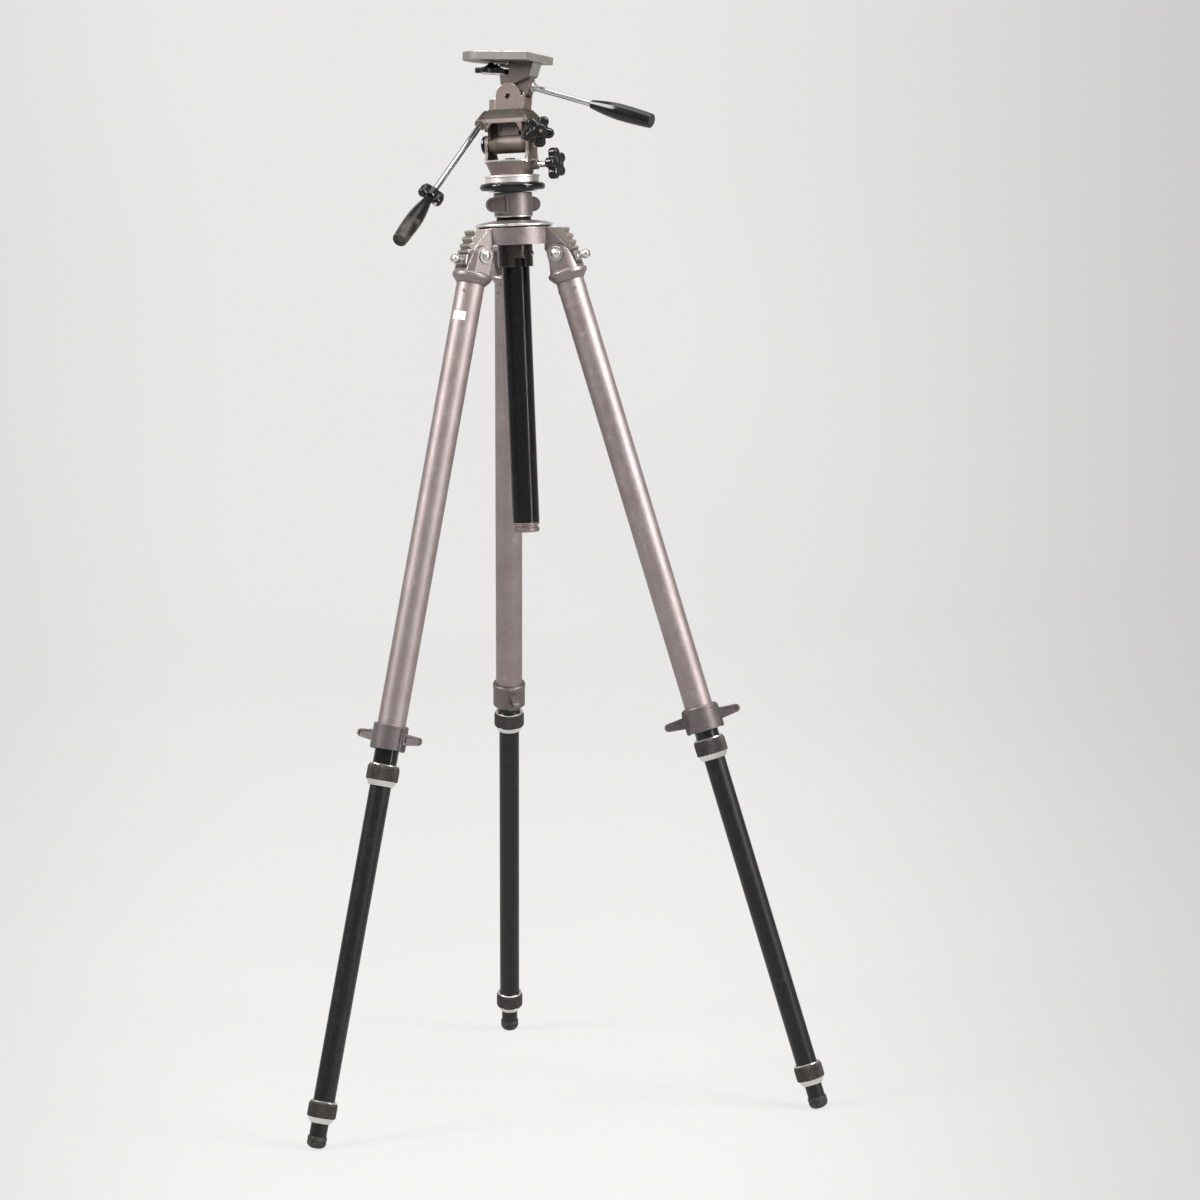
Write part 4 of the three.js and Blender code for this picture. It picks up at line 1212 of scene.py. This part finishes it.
def hood():
    front = [(34, HOOD_BOTTOM), (33.9, 28), (33.4, 31.4), (31.5, HOOD_CREASE), (25.6, 43.6)]
    front = mirrored([*front, (24.6, HOOD_TOP)])
    flank = [(22, HOOD_BOTTOM), (21.9, 28), (21.5, 31.4), (19.5, HOOD_CREASE), (15, HOOD_TOP)]
    flank = mirrored(flank)
    corners = []
    for turned_by, x, y in ((0, 28, 16), (90, -28, 16), (180, -28, -16), (270, 28, -16)):
        corners += arc(x, y, 6, turned_by, turned_by + 90, 10)
    look = finishes(*HEAD_PAINT, "head_olive", "dark_inside", "bronze_dull")
    shell = plate("tilt_hood", front, 60, look)
    shell = common(shell, face_right(plate("flank", flank, 80, look)))
    shell = common(shell, lay_flat(plate("corners", corners, 100, look)))
    shell = cut(shell, block("hollow", (-26.9, -18, 25), (26.9, 18, 34), look))
    web = block("web", (-15, -8, 6), (16, 8, 36), look)
    for face in (-8.6, 7):
        web = cut(web, block("field", (-11.4, face, 15.5), (12.4, face + 1.6, 24.6), look))
    shell = added(shell, web)
    for side in (-1, 1):
        low, high = sorted((side * 22.4, side * 27.3))
        wall = shift(plate("wall", hood_arch(), 3.8, look), y=side * 19.4)
        shell = added(shell, wall, block("cheek", (low, -13, 5), (high, 13, 35), look))
    shell = cut(shell, along_x(stub("clearance", BARREL_R + 0.3, -40, 40, "head_bronze", 72)))
    boss = [(0, -24), (7, -24), (7.7, -5), (7.5, -4.4), (8.1, -3.8), (8.1, -0.7), (7.5, 0), (0, 0)]
    shell = added(shell, on_tilt_handle(turned("boss", boss, look, 48)))
    shell = cut(shell, on_tilt_handle(stub("bore", ROD_BORE, -18, 2, "head_bronze", 32)))
    softened(shell, 0.9)
    # the upward faces take aged olive paint, darkened further as painted shade
    paint_where(shell, 2, lambda middle, normal: middle.z > HOOD_CREASE - 5.7 and normal.z > 0.2)
    # painted shade under the hood and in the sunk fields of the web
    paint_where(shell, 3, lambda middle, normal: within(middle, 27, 17.4, 35))
    paint_where(shell, 4, lambda middle, normal: within(middle, 17, 8.2, 30))
    seated(shell, nod_frame(), "tilt", ["tilt_body"])


SIDE_MOUTH = (31.7, 0, 12.9)
SIDE_DROP = 13
EAR_R = 18
SIDE_TILT_RISE = 61.2
SCREW_X = -31
PLATFORM_LOW = 45.8
PLATFORM_HIGH = 56
GROOVE_PITCH = 9
THREAD_PITCH = 1.27


def on_side_handle(piece):
    return shift(turn(piece, 90 + SIDE_DROP, "Y"), *SIDE_MOUTH)


def side_tilt_base():
    bottom = HOOD_TOP + 0.3 - SIDE_TILT_RISE
    look = finishes(*HEAD_PAINT, "dark_inside")
    outline = [
        (-28, bottom), (-28, -3), (-27.4, -2.4), *arc(0, 0, EAR_R, 187.7, 24, 36), (19, 0),
        (21.5, 0), (23, 3), (25, 3), (22.5, bottom),
    ]
    ears = plate("side_tilt_ears", outline, 24, look)
    slot = [(-40, 7.1), *arc(0, 0, 12.4, 218, 288, 16), (30, 0.6), (30, 40), (-40, 40)]
    ears = cut(ears, plate("slot", slot, 15, look))
    for face in (-13, 11.4):
        ears = cut(ears, block("shoulder", (-30, face, bottom - 1), (-19.2, face + 1.6, 3), look))
    ears = cut(ears, along_y(stub("pin_hole", 3.9, -14, 14, "head_bronze", 40)))
    softened(ears, 0.7)
    seated(ears, nod_frame("side_tilt"), "tilt", ["side_tilt_base"])


def side_tilt_neck():
    top = PLATFORM_LOW - 0.3
    look = finishes(*HEAD_PAINT, "bronze_dull", "platform")
    cheek = [
        (-15, top), (-14.5, 34), *arc(0, 0, EAR_R + 0.5, 127, 66, 18), (29.6, 26.4), (30.6, 27.4),
        (35.6, top),
    ]
    tongue = [(-8, 30), *arc(0, 0, 12, 150, 290, 28), (28, 5.6), (29.5, 30)]
    neck = plate("side_tilt_neck", cheek, 24, look)
    # the recessed tongue takes painted shade
    tongue = paint_where(plate("tongue", tongue, 14.4, look), 2, lambda middle, normal: True)
    neck = added(neck, tongue)
    socket = turned("socket", [(0, -10), (7, -10), (7.4, -0.6), (6.9, 0), (0, 0)], look, 48)
    neck = added(neck, on_side_handle(socket))
    neck = cut(neck, shift(stub("wheel_room", 33, 28.4, 38.6, "head_bronze", 80), SCREW_X))
    neck = cut(neck, on_side_handle(stub("bore", ROD_BORE, -18, 2, "head_bronze", 32)))
    softened(neck, 0.7)
    # painted shade on the neck's front and back, under the platform
    paint_where(neck, 2, lambda middle, normal: abs(normal.y) > 0.9)
    # the upper right flank takes the platform's lighter grey-green paint, partly as painted light
    # from the right
    paint_where(neck, 3, lambda middle, normal: normal.x > 0.8 and middle.z > 24)
    seated(neck, lean_frame(), "side_tilt", ["side_tilt_head"])
    # the pin takes painted shade, deep between the ears
    pin = along_y(stub("side_tilt_pin", 3.7, -9, 9, "dark_inside", 40, 0.5))
    seated(pin, lean_frame(), "side_tilt", ["side_tilt_pivot"])
    ring = closed([(ROD_BORE, -0.2), (6.6, -0.2), (6.9, 0.3), (6.5, 1.2), (ROD_BORE, 1.4)])
    ring = turned("side_handle_ring", ring, finishes("steel"), 48)
    seated(on_side_handle(ring), lean_frame(), "side_tilt")


def platform():
    look = finishes("platform", "platform_edge", "olive")
    outline = [(38.1, -38.5), (38.1, 38.5), *arc(-33.5, 0, 38.5, 90, 270, 56)]
    table = plate("camera_table", outline, PLATFORM_HIGH - PLATFORM_LOW, look, base=PLATFORM_LOW)
    table = cut(lay_flat(table), shift(stub("screw_hole", 3.6, 40, 60, "steel", 32), SCREW_X))
    for line in range(-3, 4):
        middle = line * GROOVE_PITCH
        groove = block("groove", (-58, middle - 0.4, PLATFORM_HIGH - 0.4), (30, middle + 0.4, 57),
                       look)
        table = cut(table, groove)
    softened(table, 0.8)
    seated(table, lean_frame(), "side_tilt", ["camera_platform"])
    # the rail under the platform takes painted shade
    look = finishes("bronze_dull", "bronze_edge")
    rail = block("table_rail", (-22, -17, 42.4), (1, -13, PLATFORM_LOW + 0.2), look)
    eased(rail, 0.5)
    pins = [shift(stub("rail_pin", 1.5, 40.9, 46, "bronze_rim", 24, 0.4), x, -15)
            for x in (-19.5, -2)]
    seated(joined(rail, *pins), lean_frame(), "side_tilt")


def camera_screw():
    tip = PLATFORM_HIGH + 4.45
    thread = [(0, 30.4), (3.1, 30.4)]
    height = PLATFORM_LOW + 0.2
    while height < tip - 1.6:
        thread += raised([(3.1, 0.3), (2.65, 0.8)], height)
        height += THREAD_PITCH
    thread += [(3.0, tip - 1), (2.3, tip), (0, tip)]
    screw = turned("camera_screw_thread", thread, finishes("steel"), 32)
    seated(shift(screw, SCREW_X), lean_frame(), "camera_screw", ["camera_screw"])

    look = finishes("enamel")
    wheel = lay_flat(plate("camera_screw_star", lobed(6, 6, 23.4, 17.5, 95, 8), 7.4, look,
                           base=29.7))
    eased(wheel, 1.8, 4, 50, worn=False)
    hub = [
        (3.4, 30), (12.6, 30), (12.6, 37), (11.6, 38.6), (7.6, 41.4), (6, 43), (5.4, 44.6),
        (3.4, 44.6),
    ]
    wheel = added(wheel, turned("hub", closed(hub), look, 48))
    wheel = cut(wheel, stub("bore", 3.3, 20, 60, "enamel", 32))
    turn(wheel, 28)
    seated(shift(wheel, SCREW_X), lean_frame(), "camera_screw",
           ["camera_screw_wheel"])


# ---- Handles: drawn from where each rod leaves its socket, Z along the rod ----------------------

GRIP_LENGTH = 91
GRIP_FLATS = 14


def hand_grip(name, start, look):
    """Moulded grip that swells towards its end, with soft flats along it."""
    swell = [
        (5.6, 0), (7.0, 0.08), (8.8, 0.2), (10.2, 0.33), (10.95, 0.46), (11, 0.6), (10.7, 0.74),
        (10.2, 0.88), (9.8, 0.955),
    ]
    side = swept([(r, start + part * GRIP_LENGTH) for r, part in swell])
    end = start + GRIP_LENGTH
    profile = [
        (4.2, start + 1.4), (4.2, start + 0.2), (5.2, start), *side,
        *arc(7.5, end - 2.2, 2.2, 5, 88, 6), (0, end),
    ]
    bore = [(0, start + 30), (4.2, start + 30)]
    piece = turned(name, [*bore, *profile], finishes(look), GRIP_FLATS)
    return eased(piece, 1.5, 3, 12, worn=False)


def handle_clamp():
    """Flat plate across the rod with two fat lobes beyond it."""
    ends = [*arc(9.4, 0, 5.6, -90, 90, 10), *arc(-9.4, 0, 5.6, 90, 270, 10)]
    bar = lay_flat(plate("handle_clamp_bar", ends, 3, finishes("moulding"), base=155))
    eased(bar, 0.7, angle=50, worn=False)
    hub = [
        (ROD_BORE, 157.5), (8.6, 157.5), (9.2, 159), (9.2, 169), (8, 171.4), (5.4, 172),
        (ROD_BORE, 172),
    ]
    body = added(bar, turned("hub", closed(hub), finishes("moulding"), 48))
    ball = [
        (0, 157.6), (4.4, 157.6), *arc(2.6, 161.6, 4.0, -62, 0, 6), *arc(2.6, 169.4, 4.0, 0, 80, 6),
        (0, 173.6),
    ]
    for x in (-10.4, 10.4):
        body = added(body, shift(turned("lobe", ball, finishes("moulding"), 36), x))
    body = cut(body, stub("bore", 4.2, 150, 180, "moulding", 32))
    screw = shift(stub("clamp_screw", 2.4, 172.6, 175.4, "steel", 24, 0.5), 10.4)
    bump = shift(stub("clamp_bump", 2.8, 153.2, 156, "moulding", 24, 0.8), -9.6)
    return turn(joined(body, screw, bump), 45)


def handles():
    place = line_frame("handle_clamp_turn")
    rod = stub("tilt_rod", ROD_R, -16, 204, "chrome", 48, 0.6)
    seated(rod, place, "tilt", ["tilt_handle_rod"])
    seated(hand_grip("tilt_grip", 177, "worn_grip"), place, "tilt",
           ["tilt_handle_grip"])
    seated(handle_clamp(), place, "handle_clamp", ["handle_clamp_knob"])
    place = line_frame("side_handle_twist")
    rod = stub("side_rod", ROD_R, -16, 116, "chrome", 48, 0.6)
    seated(rod, place, "side_handle", ["side_handle_rod"])
    grip = hand_grip("side_grip", 89.5, "moulding")
    seated(grip, place, "side_handle", ["side_handle_grip"])


# ---- Stage --------------------------------------------------------------------------------------
# The paper carries painted shade: it is a little darker outside a fan that opens from a point near
# the viewpoint. It runs level as far as a bend and then up a wall.

FAN_X, FAN_Y = 0.62, 4.45
FAN_NEAR = -2.5
PAPER_GLOW = 0.91
WALL = 7.0
WALL_TOP = 7.5
BEND = 1.6
BEND_STEPS = 24


def seamless_paper():
    """Pale sweep of floor and wall whose tone drifts a little, with painted shade outside a fan,
    and which keeps a soft shadow.
    """
    recipe = Finish("seamless_paper")
    pale = bpy.context.scene.tripod_stage.backdrop
    drift = recipe.node("ShaderNodeTexNoise", None,
                        {"Vector": recipe.place, "Scale": 0.5, "Detail": 1.0})
    across = recipe.node("ShaderNodeSeparateXYZ", None, {"Vector": recipe.place})
    along = recipe.node("ShaderNodeSeparateXYZ", None, {"Vector": recipe.place}, output=1)
    ahead = recipe.node("ShaderNodeMath", {"operation": "MAXIMUM"}, {0: along, 1: FAN_NEAR})
    fan = (across + FAN_X) / (ahead + FAN_Y)
    tone = recipe.blend(recipe.between(drift, 0, 1), tint(pale, 0.98), tint(pale, 1.01))
    # painted shade: darker on both sides outside the fan, as light falls off
    tone = recipe.blend(recipe.step(fan, 0.17, 0.42), tone, tint(pale, 0.72))
    tone = recipe.blend(recipe.step(fan, 0.06, -0.08), tone, tint(pale, 0.86))
    paper = recipe.node("ShaderNodeBsdfDiffuse", None, {"Color": tone})
    glow = recipe.node("ShaderNodeEmission", None, {"Color": tone, "Strength": 1.0})
    seen = [recipe.node("ShaderNodeLightPath", output=name)
            for name in ("Is Camera Ray", "Is Glossy Ray", "Is Transmission Ray")]
    share = (seen[0] + seen[1] + seen[2]) * PAPER_GLOW
    recipe.node_out(recipe.node("ShaderNodeMixShader", None, {0: share, 1: paper, 2: glow}))
    return recipe.material


def backdrop():
    line = [(-6, 0), *arc(WALL - BEND, BEND, BEND, -90, 0, BEND_STEPS), (WALL, WALL_TOP)]
    sweep = traced("backdrop", [(-8, y, z) for y, z in line], [seamless_paper()])
    bpy.ops.mesh.select_all(action="SELECT")
    bpy.ops.mesh.extrude_region_move(TRANSFORM_OT_translate={"value": (16, 0, 0)})
    bpy.ops.mesh.select_all(action="SELECT")
    bpy.ops.mesh.normals_make_consistent(inside=False)
    object_mode()
    pick(sweep)
    bpy.ops.object.shade_smooth()


def softbox(name, place, aim, width, height, power):
    put_down_everything()
    bpy.ops.object.light_add(type="AREA", location=place)
    lamp = bpy.context.object
    lamp.name = lamp.data.name = name
    lamp.data.shape = "RECTANGLE"
    lamp.data.size = width
    lamp.data.size_y = height
    lamp.data.energy = power
    lamp.rotation_euler = (Vector(aim) - Vector(place)).to_track_quat("-Z", "Y").to_euler()
    return lamp


def room_light(strength):
    """Even, slightly cool light from all round."""
    world = bpy.data.worlds.new("room")
    bpy.context.scene.world = world
    world.use_nodes = True
    ground = world.node_tree.nodes["Background"]
    ground.inputs["Color"].default_value = (0.98, 0.99, 1, 1)
    ground.inputs["Strength"].default_value = strength


def camera():
    """The viewpoint: placed by distance and bearing from the column, aimed by three angles."""
    settings = bpy.context.scene.tripod_stage
    pan = joint_point("pan")
    bearing = settings.bearing
    place = Vector((
        pan.x + math.sin(bearing) * settings.distance,
        pan.y - math.cos(bearing) * settings.distance,
        settings.height,
    ))
    heading, pitch, roll = settings.heading, settings.pitch, settings.roll
    ahead = Vector((
        math.sin(heading) * math.cos(pitch), math.cos(heading) * math.cos(pitch), -math.sin(pitch)
    ))
    level = Vector((math.cos(heading), -math.sin(heading), 0))
    upright = level.cross(ahead)
    right = math.cos(roll) * level + math.sin(roll) * upright
    up = math.cos(roll) * upright - math.sin(roll) * level
    put_down_everything()
    bpy.ops.object.camera_add()
    eye = bpy.context.object
    eye.name = eye.data.name = "viewpoint"
    eye.data.lens = settings.focal_length
    eye.matrix_world = Matrix.Translation(place) @ Matrix((right, up, -ahead)).transposed().to_4x4()
    bpy.context.scene.camera = eye


# ---- Settings a user would change ---------------------------------------------------------------


def paint_setting(name, description, default):
    return FloatVectorProperty(
        name=name, description=description, default=default, subtype="COLOR", size=3, min=0, max=1
    )


def length_setting(name, description, default, **limits):
    return FloatProperty(
        name=name, description=description, default=default, subtype="DISTANCE", unit="LENGTH",
        **limits
    )


def angle_setting(name, description, degrees):
    return FloatProperty(
        name=name, description=description, default=math.radians(degrees), subtype="ANGLE"
    )


def strength_setting(name, description, default, least=0):
    return FloatProperty(name=name, description=description, default=default, min=least)


class TripodColours(PropertyGroup):
    """Base colours of the finishes."""

    paint: paint_setting("Paint", "Bronze stove paint of the castings and main tubes",
                         (0.32, 0.267, 0.262))
    olive_paint: paint_setting("Aged paint", "Duller paint on the hood and the toothed lugs",
                               (0.24, 0.205, 0.178))
    platform_paint: paint_setting("Platform paint", "Grey-green paint of the camera platform",
                                  (0.185, 0.168, 0.153))
    bare_metal: paint_setting("Bare metal", "Aluminium that shows where paint has rubbed off",
                              (0.86, 0.83, 0.80))
    bright_steel: paint_setting("Bright metal", "Bolts, rivets, rims and screws",
                                (0.66, 0.64, 0.61))
    lower_tube: paint_setting("Lower tubes", "Anodised lower leg sections", (0.0052, 0.005, 0.0052))


class TripodDetails(PropertyGroup):
    """Small features of the pieces."""

    edge: length_setting(
        "Casting edge", "Width of the rounding on the crown's edges", 0.0009, min=0.0002, max=0.002
    )
    rivet: length_setting(
        "Rivet", "Diameter of the rivets at the top of each leg", 0.0042, min=0.002, max=0.008
    )
    ridges: IntProperty(
        name="Ridges", description="Ridges round the knurled band of a lock ring",
        default=64, min=24, max=96,
    )


class TripodStage(PropertyGroup):
    """Viewpoint, backdrop and lamps."""

    distance: length_setting(
        "Distance", "Level distance from the column to the viewpoint", 4.3998, min=1
    )
    height: length_setting("Height", "Height of the viewpoint above the floor", 1.1334, min=0)
    bearing: angle_setting("Bearing", "Direction of the viewpoint round the column", -8.046)
    heading: angle_setting("Heading", "Direction that the viewpoint faces", 9.28)
    pitch: angle_setting("Pitch", "How far the viewpoint looks down", 6.014)
    roll: angle_setting("Roll", "How far the viewpoint leans over", -2.165)
    focal_length: strength_setting(
        "Focal length", "Lens of the viewpoint in millimetres", 99.24, least=10
    )
    backdrop: paint_setting("Backdrop", "Colour of the seamless paper", (0.838, 0.829, 0.825))
    room: strength_setting("Room light", "Strength of the even light from all round", 0.29)
    main_lamp: strength_setting("Main softbox", "Power of the softbox on the right, in watts", 190)
    second_lamp: strength_setting("Second softbox", "Power of the softbox on the left, in watts",
                                  145)
    ceiling_lamp: strength_setting("Ceiling softbox", "Power of the softbox overhead, in watts", 75)
    strip_lamp: strength_setting(
        "Strip lamp",
        "Power of the narrow lamp that draws a line of light down each tube, in watts", 13
    )


# ---- Operators ----------------------------------------------------------------------------------


class TRIPOD_OT_stage(Operator):
    """Sets up the viewpoint, the pale sweep and the softboxes"""

    bl_idname = "tripod.stage"
    bl_label = "Stage"

    def execute(self, context):
        settings = context.scene.tripod_stage
        context.scene.view_settings.view_transform = "Standard"
        camera()
        backdrop()
        room_light(settings.room)
        softbox("main_softbox", (2.4, -1.95, 2.75), (0, 0, 1), 1.4, 2.3, settings.main_lamp)
        softbox("second_softbox", (-2.7, -0.7, 3.05), (0, 0, 1), 1.1, 2.1, settings.second_lamp)
        softbox("ceiling_softbox", (0.3, -0.6, 4.2), (0, 0.3, 0), 3.2, 3.2, settings.ceiling_lamp)
        strip = softbox("strip_lamp", (2.2, -2.2, 0.75), (0, 0, 0.75), 0.1, 1.5,
                        settings.strip_lamp)
        strip.visible_camera = False
        return {"FINISHED"}


class TRIPOD_OT_crown(Operator):
    """Models the crown casting, its disc, the guide sleeve and the collet"""

    bl_idname = "tripod.crown"
    bl_label = "Crown"

    def execute(self, context):
        crown_casting()
        crown_disc()
        guide_sleeve()
        collet()
        return {"FINISHED"}


class TRIPOD_OT_column(Operator):
    """Models the column, its end cap, plate and pan disc, and the lock collar on it"""

    bl_idname = "tripod.column"
    bl_label = "Column and lock"

    def execute(self, context):
        column_pieces()
        column_lock()
        return {"FINISHED"}


class TRIPOD_OT_leg_heads(Operator):
    """Models the forked castings at the tops of the legs, their bolts and stop catches"""

    bl_idname = "tripod.leg_heads"
    bl_label = "Leg heads"

    def execute(self, context):
        for_each_leg(leg_head(), "leg", "leg_casting")
        for_each_leg(pivot_bolt(), "leg", "pivot_bolt")
        for_each_leg(stop_catch(), "stop_catch", "stop_catch")
        return {"FINISHED"}


class TRIPOD_OT_leg_tubes(Operator):
    """Models the telescoping tubes, the rivets and the blank sticker"""

    bl_idname = "tripod.leg_tubes"
    bl_label = "Leg tubes"

    def execute(self, context):
        leg_tubes()
        for_each_leg(tube_rivets(), "leg")
        sticker()
        return {"FINISHED"}


class TRIPOD_OT_leg_locks(Operator):
    """Models the winged collars and the knurled lock rings of the legs"""

    bl_idname = "tripod.leg_locks"
    bl_label = "Leg locks"

    def execute(self, context):
        for_each_leg(wing_collar(), "wing_lock", "wing_lock", turned_wing)
        upper = lock_ring("upper_ring", 0, UPPER_RING_R, MIDDLE_R, LOWER_R)
        for_each_leg(upper, "upper_ring", "upper_lock_ring", under_wing)
        lower = lock_ring("lower_ring", LOWER_RING_TOP, LOWER_RING_R, LOWER_R, FOOT_R)
        for_each_leg(lower, "lower_ring", "lower_lock_ring")
        return {"FINISHED"}


class TRIPOD_OT_feet(Operator):
    """Models the rubber feet"""

    bl_idname = "tripod.feet"
    bl_label = "Feet"

    def execute(self, context):
        for_each_leg(rubber_foot(), "foot", "rubber_foot")
        return {"FINISHED"}


class TRIPOD_OT_pan_base(Operator):
    """Models the pan base with its fork, and the two lock knobs"""

    bl_idname = "tripod.pan_base"
    bl_label = "Pan base and knobs"

    def execute(self, context):
        pan_base()
        lock_knobs()
        return {"FINISHED"}


class TRIPOD_OT_tilt(Operator):
    """Models the hood, the drum and axle it tilts on, and the side tilt ears on top"""

    bl_idname = "tripod.tilt"
    bl_label = "Tilt hood"

    def execute(self, context):
        tilt_barrel()
        hood()
        side_tilt_base()
        return {"FINISHED"}


class TRIPOD_OT_platform(Operator):
    """Models the side tilt neck, the camera platform and its screw and wheel"""

    bl_idname = "tripod.platform"
    bl_label = "Neck and platform"

    def execute(self, context):
        side_tilt_neck()
        platform()
        camera_screw()
        return {"FINISHED"}


class TRIPOD_OT_handles(Operator):
    """Models both handles with their grips, and the clamp on the tilt handle"""

    bl_idname = "tripod.handles"
    bl_label = "Handles"

    def execute(self, context):
        handles()
        return {"FINISHED"}


STEPS = (
    TRIPOD_OT_stage,
    TRIPOD_OT_crown,
    TRIPOD_OT_column,
    TRIPOD_OT_leg_heads,
    TRIPOD_OT_leg_tubes,
    TRIPOD_OT_leg_locks,
    TRIPOD_OT_feet,
    TRIPOD_OT_pan_base,
    TRIPOD_OT_tilt,
    TRIPOD_OT_platform,
    TRIPOD_OT_handles,
)
GROUPS = {"tripod_colours": TripodColours, "tripod_details": TripodDetails,
          "tripod_stage": TripodStage}


class TRIPOD_PT_builder(Panel):
    """Lists the settings and the steps in the order they are taken"""

    bl_idname = "TRIPOD_PT_builder"
    bl_label = "Studio Tripod"
    bl_space_type = "VIEW_3D"
    bl_region_type = "UI"
    bl_category = "Tripod"

    def draw(self, context):
        layout = self.layout
        for group in GROUPS:
            settings = getattr(context.scene, group)
            box = layout.box()
            for setting in settings.bl_rna.properties:
                if setting.identifier not in ("rna_type", "name"):
                    box.prop(settings, setting.identifier)
        for step in STEPS:
            layout.operator(step.bl_idname)


def register():
    for group, settings in GROUPS.items():
        bpy.utils.register_class(settings)
        setattr(bpy.types.Scene, group, PointerProperty(type=settings))
    for part in (*STEPS, TRIPOD_PT_builder):
        bpy.utils.register_class(part)


def unregister():
    for part in (TRIPOD_PT_builder, *reversed(STEPS)):
        bpy.utils.unregister_class(part)
    for group, settings in reversed(GROUPS.items()):
        delattr(bpy.types.Scene, group)
        bpy.utils.unregister_class(settings)


def main():
    register()
    for step in STEPS:
        getattr(bpy.ops.tripod, step.bl_idname.split(".")[1])()
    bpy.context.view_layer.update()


if __name__ == "__main__":
    main()
